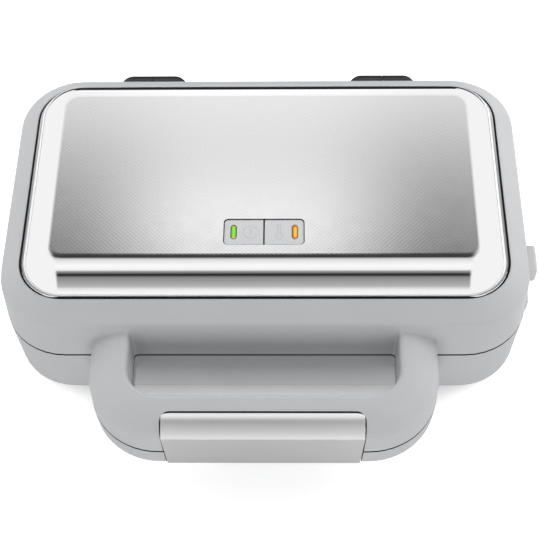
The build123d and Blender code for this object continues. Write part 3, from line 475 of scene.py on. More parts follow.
def linenSteel(shape):
    # sheet steel with a fine linen weave pressed into its flat, and a polished roll round it
    material, tree, shader = newFinish("linenSteel", Metallic=1.0)
    place = addNode(tree, "ShaderNodeTexCoord").outputs["Object"]
    parts = addNode(tree, "ShaderNodeSeparateXYZ", inputs={0: place})
    outside = []
    for axis in (0, 1):
        offset = mathNode(tree, "ABSOLUTE", mathNode(tree, "SUBTRACT", parts.outputs[axis], shape["middle"][axis]))
        outside.append(mathNode(tree, "SUBTRACT", offset, shape["half"][axis]))
    beyond = mathNode(tree, "DIVIDE", mathNode(tree, "MAXIMUM", *outside), shape["fade"])
    onRoll = rampNode(tree, beyond, [(0.0, 0.0), (1.0, 1.0)], "EASE")
    turnsPerMetre = 2 * pi / (shape["pitch"] * 2 ** 0.5)
    along = mathNode(tree, "ADD", parts.outputs[0], parts.outputs[1])
    across = mathNode(tree, "SUBTRACT", parts.outputs[0], parts.outputs[1])
    waves = [mathNode(tree, "SINE", mathNode(tree, "MULTIPLY", way, turnsPerMetre)) for way in (along, across)]
    weave = mathNode(tree, "ADD", *waves)
    pressed = mathNode(tree, "MULTIPLY", weave, mathNode(tree, "SUBTRACT", 1.0, onRoll))
    bump = addNode(tree, "ShaderNodeBump", inputs={"Height": pressed, "Distance": shape["depth"], "Strength": 1.0})
    tree.links.new(bump.outputs[0], shader.inputs["Normal"])
    # painted shade: the steel's colour is darker in the weave's hollows and lighter on its ridges
    shaded = mathNode(tree, "MULTIPLY_ADD", pressed, 0.25, 0.5)
    colour = rampNode(tree, shaded, [(0.0, (0.845, 0.845, 0.85)), (1.0, (0.88, 0.88, 0.885))])
    tree.links.new(colour, shader.inputs["Base Color"])
    drift = addNode(tree, "ShaderNodeTexNoise", inputs={"Vector": place, "Scale": 1 / (8 * mm), "Detail": 2.0})
    flatGloss = mathNode(tree, "MULTIPLY_ADD", drift.outputs[0], 0.04, 0.10)
    gloss = mathNode(tree, "MULTIPLY_ADD", onRoll, -0.07, flatGloss)
    tree.links.new(gloss, shader.inputs["Roughness"])
    return material


def satinLatch(crease, topMiddle, crown):
    # silver lacquer, satin on top of the crease and matte with a fine grain on the front; the top's silver is painted
    # lighter than the front's, a painted highlight
    material, tree, shader = newFinish("satinSilver", Metallic=1.0)
    place, noise = grainBump(tree, shader, 0.25 * mm, 0.012 * mm)
    parts = addNode(tree, "ShaderNodeSeparateXYZ", inputs={0: place})
    height = parts.outputs[2]
    aside = mathNode(tree, "DIVIDE", mathNode(tree, "SUBTRACT", parts.outputs[1], topMiddle), 6 * mm)
    tilted = mathNode(tree, "MULTIPLY", aside, -1.6)
    crowned = mathNode(tree, "SUBTRACT", tilted, mathNode(tree, "MULTIPLY", aside, aside))
    grain = shader.inputs["Normal"].links[0].from_node
    crowning = addNode(tree, "ShaderNodeBump", inputs={"Height": crowned, "Distance": crown, "Strength": 1.0})
    tree.links.new(crowning.outputs[0], grain.inputs["Normal"])
    above = rampNode(tree, mathNode(tree, "DIVIDE", mathNode(tree, "SUBTRACT", height, crease), 1 * mm),
                     [(0.0, 0.0), (0.35, 1.0)])
    speckle = rampNode(tree, noise, [(0.25, 0.0), (0.75, 1.0)])
    front = rampNode(tree, speckle, [(0.0, (0.70, 0.70, 0.705)), (1.0, (0.75, 0.75, 0.755))])
    # painted highlight: the top's silver is much lighter than the front's
    top = rampNode(tree, speckle, [(0.0, (0.93, 0.93, 0.94)), (1.0, (0.97, 0.97, 0.98))])
    colour = addNode(tree, "ShaderNodeMix", data_type="RGBA", inputs={0: above, 6: front, 7: top}).outputs[2]
    tree.links.new(colour, shader.inputs["Base Color"])
    gloss = mathNode(tree, "MULTIPLY_ADD", above, -0.14, 0.42)
    tree.links.new(gloss, shader.inputs["Roughness"])
    return material


tileSigns = {
    "level": -18.85 * mm,
    "ring": (-7.1 * mm, 3.9 * mm),          # place across, radius
    "bar": 1.9 * mm,                        # half length
    "bulb": (7.85 * mm, -21.45 * mm, 1.9 * mm),
    "stem": (-21.45 * mm, -14.6 * mm, 0.75 * mm),
}


def tileFinish(signs):
    # pale tile with a faint power sign and a faint thermometer pressed into it, their lines darkened with painted shade
    material, tree, shader = newFinish("paleTile", Roughness=0.40)
    place, noise = grainBump(tree, shader, 0.35 * mm, 0.012 * mm)
    parts = addNode(tree, "ShaderNodeSeparateXYZ", inputs={0: place})

    def distanceTo(x, low, high):
        # from an upright line, or from a point where low is high
        beside = mathNode(tree, "SUBTRACT", parts.outputs[0], x)
        nearest = mathNode(tree, "MINIMUM", mathNode(tree, "MAXIMUM", parts.outputs[1], low), high)
        past = mathNode(tree, "SUBTRACT", parts.outputs[1], nearest)
        squares = [mathNode(tree, "MULTIPLY", value, value) for value in (beside, past)]
        return mathNode(tree, "SQRT", mathNode(tree, "ADD", *squares))

    level = signs["level"]
    ringX, ringRadius = signs["ring"]
    bulbX, bulbY, bulbRadius = signs["bulb"]
    ring = mathNode(tree, "SUBTRACT", distanceTo(ringX, level, level), ringRadius)
    bar = distanceTo(ringX, level - signs["bar"], level + signs["bar"])
    bulb = mathNode(tree, "SUBTRACT", distanceTo(bulbX, bulbY, bulbY), bulbRadius)
    stem = mathNode(tree, "SUBTRACT", distanceTo(bulbX, *signs["stem"][:2]), signs["stem"][2])
    glass = mathNode(tree, "MINIMUM", bulb, stem)
    nearest = mathNode(tree, "ABSOLUTE", ring)
    for other in (bar, mathNode(tree, "ABSOLUTE", glass)):
        nearest = mathNode(tree, "MINIMUM", nearest, other)
    line = rampNode(tree, mathNode(tree, "DIVIDE", nearest, mm), [(0.12, 1.0), (0.26, 0.0)])
    pressed = addNode(tree, "ShaderNodeBump", inputs={
        "Height": mathNode(tree, "MULTIPLY", line, -1.0), "Distance": 0.08 * mm, "Strength": 1.0,
    })
    tree.links.new(pressed.outputs[0], shader.inputs["Normal"].links[0].from_node.inputs["Normal"])
    # painted shade: the colour darkens along the pressed lines
    drift = rampNode(tree, noise, [(0.3, (0.60, 0.607, 0.618)), (0.7, (0.615, 0.622, 0.633))])
    colour = addNode(tree, "ShaderNodeMix", data_type="RGBA", inputs={
        0: mathNode(tree, "MULTIPLY", line, 0.5), 6: drift, 7: (0.42, 0.43, 0.44, 1),
    })
    tree.links.new(colour.outputs[2], shader.inputs["Base Color"])
    return material


finishes = {
    "grey_housing": housingFinish((0.486, 0.494, 0.508), (0.502, 0.510, 0.524), 0.42, 45.5 * mm, latchPocket),
    "button_grey": plasticFinish("greyButton", (0.56, 0.57, 0.58), (0.58, 0.59, 0.60), 0.18),
    "panel_tile": tileFinish(tileSigns),
    "hinge_plastic": plasticFinish("blackMoulding", (0.012, 0.011, 0.010), (0.020, 0.018, 0.016), 0.32, shine=0.3),
    "foot_rubber": plasticFinish("blackRubber", (0.008, 0.008, 0.008), (0.014, 0.014, 0.014), 0.80, shine=0.2),
    "plate_coating": plasticFinish("plateCoating", (0.035, 0.034, 0.033), (0.050, 0.049, 0.047), 0.34, 0.6 * mm),
    "ceramic": plasticFinish("whiteCeramic", (0.70, 0.68, 0.62), (0.76, 0.74, 0.69), 0.5),
    "circuit_board": plasticFinish("boardGreen", (0.02, 0.12, 0.05), (0.03, 0.16, 0.07), 0.4),
    "lamp": plasticFinish("lampGlass", (0.75, 0.75, 0.72), (0.82, 0.82, 0.80), 0.15),
    "cover_steel": linenSteel(linenShape),
    "latch_satin": satinLatch(62.9 * mm, -120.25 * mm, 0.2 * mm),
    "reflector_sheet": metalFinish("brightSheet", (0.72, 0.72, 0.73), (0.80, 0.80, 0.81), 0.25),
    "steel_hardware": metalFinish("zincSteel", (0.52, 0.52, 0.53), (0.62, 0.62, 0.63), 0.32),
    "element_sheath": metalFinish("elementSheath", (0.16, 0.15, 0.14), (0.24, 0.22, 0.21), 0.45),
}


def lensFinish(name, centre, half, middle, end, rim):
    # lit lens: bright along its middle, another tint at its ends, and a dark painted shade round its rim where it sits
    # in its slot
    material, tree, shader = newFinish(name, Roughness=0.12, Coat_Weight=0.4)
    place = addNode(tree, "ShaderNodeTexCoord").outputs["Object"]
    parts = addNode(tree, "ShaderNodeSeparateXYZ", inputs={0: place})
    beside = mathNode(tree, "DIVIDE", mathNode(tree, "SUBTRACT", parts.outputs[0], centre[0]), half[0])
    along = mathNode(tree, "ABSOLUTE", mathNode(tree, "SUBTRACT", parts.outputs[1], centre[1]))
    past = mathNode(tree, "MAXIMUM", mathNode(tree, "SUBTRACT", along, half[1] - half[0]), 0.0)
    over = mathNode(tree, "DIVIDE", past, half[0])
    square = mathNode(tree, "ADD", mathNode(tree, "MULTIPLY", beside, beside), mathNode(tree, "MULTIPLY", over, over))
    drift = addNode(tree, "ShaderNodeTexNoise", inputs={"Vector": place, "Scale": 1 / (1.5 * mm)})
    reach = mathNode(tree, "MULTIPLY_ADD", drift.outputs[0], 0.12, mathNode(tree, "SQRT", square))
    toEnd = rampNode(tree, mathNode(tree, "DIVIDE", along, half[1]), [(0.50, middle), (0.85, end)])
    rimShadeMix = rampNode(tree, reach, [(0.42, 0.0), (0.80, 0.85), (1.0, 1.0)])
    colour = addNode(tree, "ShaderNodeMix", data_type="RGBA", inputs={0: rimShadeMix, 6: toEnd, 7: (*rim, 1)}).outputs[2]
    tree.links.new(colour, shader.inputs["Base Color"])
    tree.links.new(colour, shader.inputs["Emission Color"])
    shader.inputs["Emission Strength"].default_value = 0.5
    return material


lensHalf = (1.45 * mm, 4.45 * mm)
# the last colour of each lens is the painted shade round its rim
finishes["green_lens"] = lensFinish(
    "greenLens", (-16.1 * mm, -18.7 * mm), lensHalf, (0.13, 0.55, 0.012), (0.34, 0.50, 0.006), (0.10, 0.12, 0.004),
)
finishes["amber_lens"] = lensFinish(
    "amberLens", (16.6 * mm, -18.7 * mm), lensHalf, (0.62, 0.39, 0.003), (0.60, 0.14, 0.004), (0.26, 0.06, 0.005),
)

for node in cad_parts.values():
    for place in node.material_slots:
        place.material = finishes[place.material.name.split(".")[0]]
print("finishes ready")


# outlines drawn point by point

def drawOutline(name, points):
    # a flat face through the points, each drawn by extruding the one before it
    restEverything()
    bpy.ops.mesh.primitive_plane_add(size=1 * mm, location=points[0])
    piece = bpy.context.active_object
    piece.name = name
    placeMesh(piece)
    editPiece(piece)
    bpy.ops.mesh.select_mode(type="VERT")
    bpy.ops.mesh.select_all(action="SELECT")
    bpy.ops.mesh.merge(type="CENTER")
    for before, after in zip(points, points[1:]):
        step = tuple(b - a for a, b in zip(before, after))
        bpy.ops.mesh.extrude_vertices_move(TRANSFORM_OT_translate={"value": step})
    bpy.ops.mesh.select_all(action="SELECT")
    bpy.ops.mesh.edge_face_add()
    stopEditing()
    return piece


def extrudeFace(step):
    bpy.ops.mesh.extrude_region_move(TRANSFORM_OT_translate={"value": step})


def prismAcross(name, outline, half):
    # an outline of (y, z) points drawn at -half and extruded to +half along x
    piece = drawOutline(name, [(-half, y, z) for y, z in outline])
    editPiece(piece)
    bpy.ops.mesh.select_all(action="SELECT")
    extrudeFace((2 * half, 0, 0))
    stopEditing()
    facesOutward(piece)
    return piece


def slotPiece(name, centre, width, length, low, high):
    # a slot shape with round ends
    restEverything()
    bpy.ops.mesh.primitive_plane_add(size=1, location=(centre[0], centre[1], low))
    piece = bpy.context.active_object
    piece.name = name
    piece.scale = (width, length, 1)
    placeMesh(piece)
    editPiece(piece)
    bpy.ops.mesh.select_mode(type="VERT")
    bpy.ops.mesh.select_all(action="SELECT")
    bpy.ops.mesh.bevel(offset=width / 2 * 0.998, segments=8, affect="VERTICES")
    bpy.ops.mesh.select_all(action="SELECT")
    extrudeFace((0, 0, high - low))
    stopEditing()
    facesOutward(piece)
    return piece


def joinPieces(piece, *others):
    restEverything()
    for other in others:
        other.select_set(True)
    piece.select_set(True)
    bpy.context.view_layer.objects.active = piece
    bpy.ops.object.join()


def arcPoints(centre, radius, first, last, steps):
    # points on an arc, angles in degrees
    turns = [radians(first + (last - first) * step / steps) for step in range(steps + 1)]
    return [(centre[0] + radius * cos(turn), centre[1] + radius * sin(turn)) for turn in turns]


# housings

plateLow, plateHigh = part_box("upper_cooking_plate")
middleY = (plateLow.y + plateHigh.y) / 2
baseLow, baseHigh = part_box("base_housing")
lidLow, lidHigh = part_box("lid_housing")
coverLow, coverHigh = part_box("steel_cover")
seamWidth = baseHigh.x - baseLow.x
seamDepth = 2 * (baseHigh.y - middleY)

housingShape = {
    "corner": 35.5 * mm,
    "baseTaper": 1.45 * mm,
    "lidTaper": 1.55 * mm,
    "lidWall": 28.6 * mm,
    "creaseRadius": 4.0 * mm,
    "lowerEdge": 4.5 * mm,
    "wall": 2.6 * mm,
    "lip": 1.0 * mm,
    "lipCorner": 25.3 * mm,
    "coverGap": 1.3 * mm,
    "coverLedge": 11.0 * mm,
    "plateLedge": 13.95 * mm,
    "ledgeNear": 3.4 * mm,
    "ledgeFar": 5.6 * mm,
    "edgeSoftness": 0.4 * mm,
    "rootRadius": 2.2 * mm,
}

handleShape = {
    "armX": 80.75 * mm,
    "reach": 131.35 * mm,
    "half": 10.15 * mm,
    "flare": 0.5 * mm,
    "bend": 26.5 * mm,
    "innerRise": 24.6 * mm,
    "outerRise": 17.4 * mm,
    "crown": 1.0 * mm,
    "drop": 13.6 * mm,
    "innerRadius": 2.5 * mm,
    "outerRadius": 6.5 * mm,
    "lowerRadius": 2.0 * mm,
}

latchShape = {
    "halfTop": 51.5 * mm,
    "halfBottom": 50.0 * mm,
    "gap": 0.8 * mm,
    "face": 143.5 * mm,
    "back": 12.4 * mm,
    "sheet": 2.2 * mm,
    "creaseRise": 16.8 * mm,
    "drop": 10.1 * mm,
    "slope": 5.1 * mm,
    "bulge": 0.8 * mm,
    "corner": 4.5 * mm,
    "pivotBack": 6.5 * mm,
    "pivotDrop": 6.9 * mm,
    "ear": 3.2 * mm,
    "swingRoom": 2.3 * mm,
    "cornerRoom": 2.6 * mm,     # how far the mouth's rounded corners reach below the latch's rear edge
    "frontRoom": 2.0 * mm,      # behind the latch's front sheet, beside the gap
    "hook": 4.2 * mm,
    "hookThickness": 2.7 * mm,
    "hookRoom": 1.0 * mm,
}


def ringFor(inset, height, corner=None):
    # a housing's outline drawn in by an inset
    corner = housingShape["corner"] - inset if corner is None else corner
    return ((0, middleY), seamWidth - 2 * inset, seamDepth - 2 * inset, corner, height)


def turnedCorner(before, corner, after, radius, steps=5):
    # rings on the rounding between two slopes, each given as (inset, height)
    into = (Vector(before) - Vector(corner)).normalized()
    out = (Vector(after) - Vector(corner)).normalized()
    half = into.angle(out) / 2
    centre = Vector(corner) + (into + out).normalized() * radius / sin(half)
    start = Vector(corner) + into * radius * cos(half) / sin(half) - centre
    end = Vector(corner) + out * radius * cos(half) / sin(half) - centre
    turn = start.angle_signed(end)
    return [centre + Matrix.Rotation(-turn * step / steps, 2) @ start for step in range(steps + 1)]


def lidShell(shape):
    rim, crease = lidLow.z, lidLow.z + shape["lidWall"]
    top = lidHigh.z
    lipInset = (seamWidth - (coverHigh.x - coverLow.x)) / 2 - shape["coverGap"] - shape["lip"]
    mouth = lipInset + shape["lip"]
    ledgeInset = mouth + shape["coverGap"] + shape["coverLedge"]
    seam = rim - 0.6 * mm
    taperAt = lambda z: shape["lidTaper"] * (z - rim) / shape["lidWall"]
    rings = [ringFor(0, rim)]
    turned = turnedCorner((0, rim), (shape["lidTaper"], crease), (lipInset, top), shape["creaseRadius"])
    for inset, height in turned:
        rings.append(ringFor(inset, height))
    rings.append(ringFor(lipInset, top, shape["lipCorner"]))
    rings.append(ringFor(mouth, top, shape["lipCorner"] - shape["lip"]))
    rings.append(ringFor(mouth, coverLow.z, shape["lipCorner"] - shape["lip"]))
    rings.append(ringFor(ledgeInset, coverLow.z, 12 * mm))
    rings.append(ringFor(ledgeInset, coverLow.z - 2.2 * mm, 12 * mm))
    near, far = seam + shape["ledgeNear"], seam + shape["ledgeFar"]
    for inset, height in (
        (shape["wall"] + taperAt(coverLow.z), coverLow.z - 2.2 * mm), (shape["wall"] + taperAt(far), far),
        (shape["plateLedge"], far), (shape["plateLedge"], near), (shape["wall"] + taperAt(near), near),
        (shape["wall"], rim),
    ):
        rings.append(ringFor(inset, height))
    return loftRings("lidShell", rings, closeLoop=True)


def baseShell(shape):
    rim, bottom = baseHigh.z, baseLow.z
    seam = rim + 0.6 * mm
    high = rim - bottom
    taperAt = lambda z: shape["baseTaper"] * (rim - z) / high
    near, far = seam - shape["ledgeNear"], seam - shape["ledgeFar"]
    floorTop = bottom + shape["wall"]
    rings = [
        ringFor(shape["wall"] + taperAt(z) if inset is None else inset, z) for inset, z in (
            (None, floorTop), (None, far), (shape["plateLedge"], far), (shape["plateLedge"], near),
            (None, near), (None, rim),
        )
    ]
    rings.append(ringFor(0, rim))
    turned = turnedCorner((0, rim), (shape["baseTaper"], bottom), (20 * mm, bottom), shape["lowerEdge"])
    for inset, height in turned:
        rings.append(ringFor(inset, height))
    return loftRings("baseShell", rings, closeStart=True, closeEnd=True)


def handleOutline(shape, rim, upper):
    # the bar's section as (outward, height) points, from the seam on the inner side round to the outer side
    half, flare = shape["half"], shape["flare"]
    if not upper:
        low = rim - shape["drop"]
        inner = turnedCorner((-half - flare, rim), (-half, low), (half, low), shape["lowerRadius"], 4)
        outer = turnedCorner((-half, low), (half, low), (half + flare, rim), shape["lowerRadius"], 4)
        return [(-half - flare, rim), *map(tuple, inner), *map(tuple, outer), (half + flare, rim)]
    innerTop, outerTop = (-half, rim + shape["innerRise"]), (half, rim + shape["outerRise"])
    inner = turnedCorner((-half - flare, rim), innerTop, outerTop, shape["innerRadius"], 4)
    outer = turnedCorner(innerTop, outerTop, (half + flare, rim), shape["outerRadius"], 6)
    points = [(-half - flare, rim), *map(tuple, inner)]
    first, last = Vector(inner[-1]), Vector(outer[0])
    for step in range(1, 6):
        share = step / 6
        points.append(tuple(first.lerp(last, share) + Vector((0, 0.75 * shape["crown"] * 4 * share * (1 - share)))))
    return points + [*map(tuple, outer), (half + flare, rim)]


def handleLoop(name, shape, rim, upper, root):
    # the section drawn at the left arm's root, extruded and spun round the loop
    outline = [(-shape["armX"] - outward, root, height) for outward, height in handleOutline(shape, rim, upper)]
    piece = drawOutline(name, outline)
    editPiece(piece)
    bpy.ops.mesh.select_all(action="SELECT")
    run = (middleY - shape["reach"] + shape["bend"]) - root
    extrudeFace((0, run, 0))
    for turn, centreX in enumerate((-shape["armX"] + shape["bend"], shape["armX"] - shape["bend"])):
        bpy.ops.mesh.spin(
            steps=14, angle=spinSign * pi / 2, center=(centreX, middleY - shape["reach"] + shape["bend"], 0),
            axis=(0, 0, 1),
        )
        if turn == 0:
            extrudeFace((2 * (shape["armX"] - shape["bend"]), 0, 0))
    extrudeFace((0, -run, 0))
    stopEditing()
    facesOutward(piece)
    return piece


spinSign = -1


def pocketTool(shape, rim):
    # room for the latch's top and front in the bar
    rear = shape["face"] - shape["back"]
    crease = rim + shape["creaseRise"]
    top = crease + shape["slope"]
    bottom = baseHigh.z - handleShape["drop"]
    pivotZ = top - shape["pivotDrop"]
    gap, room = shape["gap"], shape["swingRoom"]
    recess = -(shape["face"] - shape["sheet"] - gap - shape["frontRoom"])
    below = pivotZ - shape["ear"] - gap
    outline = [
        (-shape["face"] - 1 * mm, top), (-rear + gap, top), (-rear + room, top + gap - room),
        (-rear + room, below), (recess, below), (recess, bottom - 1 * mm), (-shape["face"] - 1 * mm, bottom - 1 * mm),
    ]
    tool = prismAcross("pocketTool", [(middleY + y, z) for y, z in outline], shape["halfTop"] + gap)
    editPiece(tool)
    pickPoints(tool, lambda point: point.z < crease - 5 * mm)
    bpy.ops.transform.resize(value=(shape["halfBottom"] / shape["halfTop"], 1, 1), center_override=(0, 0, 0))
    cornerX = shape["halfTop"] - shape["corner"]
    for x in (-cornerX, cornerX):
        bpy.ops.mesh.select_all(action="SELECT")
        bpy.ops.mesh.bisect(plane_co=(x, 0, 0), plane_no=(1, 0, 0))
    pickPoints(tool, lambda point: abs(point.x) > cornerX + 0.5 * mm and point.z > top - 2 * mm)
    bpy.ops.transform.translate(value=(0, 0, -shape["cornerRoom"]))
    stopEditing()
    facesOutward(tool)
    restEverything()
    bpy.ops.mesh.primitive_plane_add(size=1, location=(0, middleY - rear + gap - shape["back"], top - shape["cornerRoom"]))
    mouth = bpy.context.active_object
    mouth.scale = (2 * (shape["halfTop"] + gap), 2 * shape["back"], 1)
    placeMesh(mouth)
    editPiece(mouth)
    pickPoints(mouth, lambda point: point.y > middleY - rear)
    bpy.ops.mesh.bevel(offset=shape["corner"] + gap, segments=8, affect="VERTICES")
    bpy.ops.mesh.select_all(action="SELECT")
    extrudeFace((0, 0, 10 * mm))
    stopEditing()
    facesOutward(mouth)
    return tool, mouth


def blockTool(name, x, y, z):
    restEverything()
    bpy.ops.mesh.primitive_cube_add(size=1, location=(sum(x) / 2, sum(y) / 2, sum(z) / 2))
    tool = bpy.context.active_object
    tool.name = name
    tool.scale = (x[1] - x[0], y[1] - y[0], z[1] - z[0])
    placeMesh(tool)
    return tool


def hookRoom(shape):
    rear = middleY - shape["face"] + shape["sheet"] + shape["hook"] + shape["hookRoom"]
    half = shape["halfBottom"] + shape["gap"]
    bottom = baseHigh.z - shape["drop"]
    return blockTool(
        "hookRoom", (-half, half), (rear - 5 * mm, rear),
        (bottom - 5 * mm, bottom + shape["hookThickness"] + shape["hookRoom"]),
    )


def softenRoots(piece, rim, taper, radius):
    # the rounding where the arms meet the wall
    def onWall(point):
        wallY = middleY - seamDepth / 2 + taper(point.z)
        return abs(point.y - wallY) < 0.02 * mm and abs(abs(point.x) - handleShape["armX"]) < 11.5 * mm

    def atRoot(first, last):
        alongRim = abs(first.z - rim) < 0.01 * mm and abs(last.z - rim) < 0.01 * mm
        return onWall(first) and onWall(last) and not alongRim

    editPiece(piece)
    pickEdges(piece, atRoot)
    bpy.ops.mesh.bevel(offset=radius, segments=5, affect="EDGES", clamp_overlap=False)
    stopEditing()


def mergedCopy(nodeName):
    # a CAD node's mesh is loose triangles, so its copy is merged first
    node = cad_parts[nodeName]
    piece = node.copy()
    piece.data = node.data.copy()
    bpy.context.scene.collection.objects.link(piece)
    piece.parent = None
    piece.matrix_world = node.matrix_world
    placeMesh(piece)
    editPiece(piece)
    bpy.ops.mesh.select_all(action="SELECT")
    bpy.ops.mesh.remove_doubles(threshold=0.004 * mm)
    bpy.ops.mesh.dissolve_limited(angle_limit=radians(1))
    bpy.ops.mesh.normals_make_consistent(inside=False)
    stopEditing()
    return piece


def makeHousing(name, shell, upper, rim, taper, shape):
    root = middleY - seamDepth / 2 + shape["lidTaper"] + shape["wall"] / 2
    loop = handleLoop(name + "Handle", handleShape, rim, upper, root)
    applyModifier(shell, "BOOLEAN", object=loop, operation="UNION", solver="EXACT")
    bpy.data.objects.remove(loop)
    softenRoots(shell, rim, taper, shape["rootRadius"])
    for tool in pocketTool(latchShape, lidLow.z):
        cutWith(shell, tool)
    if not upper:
        cutWith(shell, hookRoom(latchShape))
    buttonLow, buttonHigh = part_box("upper_release_button" if upper else "lower_release_button")
    level = 65.5 * mm if upper else 34.0 * mm
    buttonY = (buttonLow.y + buttonHigh.y) / 2
    cutWith(shell, blockTool(
        "window", (plateHigh.x - 9 * mm, buttonHigh.x + 2 * mm), (buttonY - 8.4 * mm, buttonY + 8.4 * mm),
        (level - 5.9 * mm, level + 5.9 * mm),
    ))
    cutWith(shell, mergedCopy("lid_handle_cover" if upper else "base_handle_cover"))
    softEdges(shell, shape["edgeSoftness"], 2, 40)
    smoothPiece(shell, 40)
    return shell


ventShape = {
    "rows": (-30 * mm, 30 * mm),
    "count": 9,
    "pitch": 9 * mm,
    "width": 3 * mm,
    "length": 26 * mm,
}


def openBase(shell, shape):
    # the vents in its floor and the hole for the cord's sleeve
    places = [((index - (shape["count"] - 1) / 2) * shape["pitch"], row)
              for row in shape["rows"] for index in range(shape["count"])]
    tools = [slotPiece("vent", (x, middleY + row), shape["width"], shape["length"],
                       baseLow.z - 1 * mm, baseLow.z + 4 * mm) for x, row in places]
    joinPieces(*tools)
    cutWith(shell, tools[0])
    restEverything()
    bpy.ops.mesh.primitive_cylinder_add(
        vertices=40, radius=5.15 * mm, depth=24 * mm, location=(0, baseHigh.y, 20 * mm), rotation=(pi / 2, 0, 0),
    )
    hole = bpy.context.active_object
    placeMesh(hole)
    cutWith(shell, hole)
    return shell


lidPiece = makeHousing(
    "lid", lidShell(housingShape), True, lidLow.z,
    lambda z: housingShape["lidTaper"] * (z - lidLow.z) / housingShape["lidWall"], housingShape,
)
lidPiece.name = "lidHousing"
finishPiece(lidPiece, "lid", finishes["grey_housing"], "grey_housing", "lid_housing")
basePiece = makeHousing(
    "base", openBase(baseShell(housingShape), ventShape), False, baseHigh.z,
    lambda z: housingShape["baseTaper"] * (baseHigh.z - z) / (baseHigh.z - baseLow.z), housingShape,
)
basePiece.name = "baseHousing"
finishPiece(basePiece, "base", finishes["grey_housing"], "grey_housing", "base_housing")
print("housings done")


# steel cover

coverShape = {
    "corner": 23 * mm,
    "rollSide": 15.8 * mm,
    "rollFront": 21.5 * mm,
    "rollRear": 12.5 * mm,
    "hem": 0.7 * mm,            # the flat edge that stands out under the roll, but not in front
    "skirt": 4.5 * mm,
    "sheet": 0.8 * mm,
    "rollSteps": 18,
    "window": (43.0 * mm, 16.8 * mm, 2.5 * mm),
    "windowMiddle": -18.9 * mm,
}


def makeCover(shape):
    low, high = coverLow, coverHigh
    width, depth = high.x - low.x, high.y - low.y
    middle = (0, middleY)
    edge = low.z + shape["skirt"]
    rise = high.z - edge
    hem, hemTop = shape["hem"], lidHigh.z + 0.25 * mm
    rings = [(middle, width, depth, shape["corner"], height) for height in (low.z, hemTop)]
    width, depth, corner, middleRoll = width - 2 * hem, depth - hem, shape["corner"] - hem, middleY - hem / 2
    rings.append(((0, middleRoll), width, depth, corner, hemTop))
    for step in range(shape["rollSteps"] + 1):
        turn = pi / 2 * step / shape["rollSteps"]
        drawn = 1 - cos(turn)
        centre = (0, middleRoll + (shape["rollFront"] - shape["rollRear"]) / 2 * drawn)
        rings.append((
            centre, width - 2 * shape["rollSide"] * drawn,
            depth - (shape["rollFront"] + shape["rollRear"]) * drawn,
            corner - shape["rollSide"] * drawn, edge + rise * sin(turn),
        ))
    last = rings[-1]
    rings.append((last[0], last[1] - 0.6 * mm, last[2] - 0.6 * mm, last[3], high.z))
    cover = loftRings("steelCover", rings, closeEnd=True)
    applyModifier(cover, "SOLIDIFY", thickness=shape["sheet"], offset=-1)
    window = shape["window"]
    cutWith(cover, loftRings("panelWindow", [
        ((0, shape["windowMiddle"]), window[0], window[1], window[2], height)
        for height in (high.z - 4 * mm, high.z + 2 * mm)
    ], 6, closeStart=True, closeEnd=True))
    softEdges(cover, 0.3 * mm, 3, 50)
    smoothPiece(cover, 40)
    finishPiece(cover, "lid", finishes["cover_steel"], "cover_steel", "steel_cover")


makeCover(coverShape)


def makeCoverGapShade(shape):
    # painted shade: a black strip that fills the gap round the cover, standing in for the shade in that gap
    width, depth = coverHigh.x - coverLow.x, coverHigh.y - coverLow.y
    gap = housingShape["coverGap"]
    top = shape["top"]
    rings = [
        ((0, middleY), width + 2 * offset, depth + 2 * offset, shape["corner"] + offset, height)
        for offset, height in (
            (0.08 * mm, coverLow.z), (0.08 * mm, top - 0.3 * mm), (gap / 2, top),
            (gap - 0.1 * mm, top - 0.3 * mm), (gap - 0.1 * mm, coverLow.z),
        )
    ]
    gapShade = loftRings("coverGapShade", rings, closeLoop=True)
    smoothPiece(gapShade, 50)
    finishPiece(gapShade, "lid", finishes["foot_rubber"], "foot_rubber")


makeCoverGapShade({"corner": coverShape["corner"], "top": lidHigh.z - 0.35 * mm})
print("steel cover done")


# latch

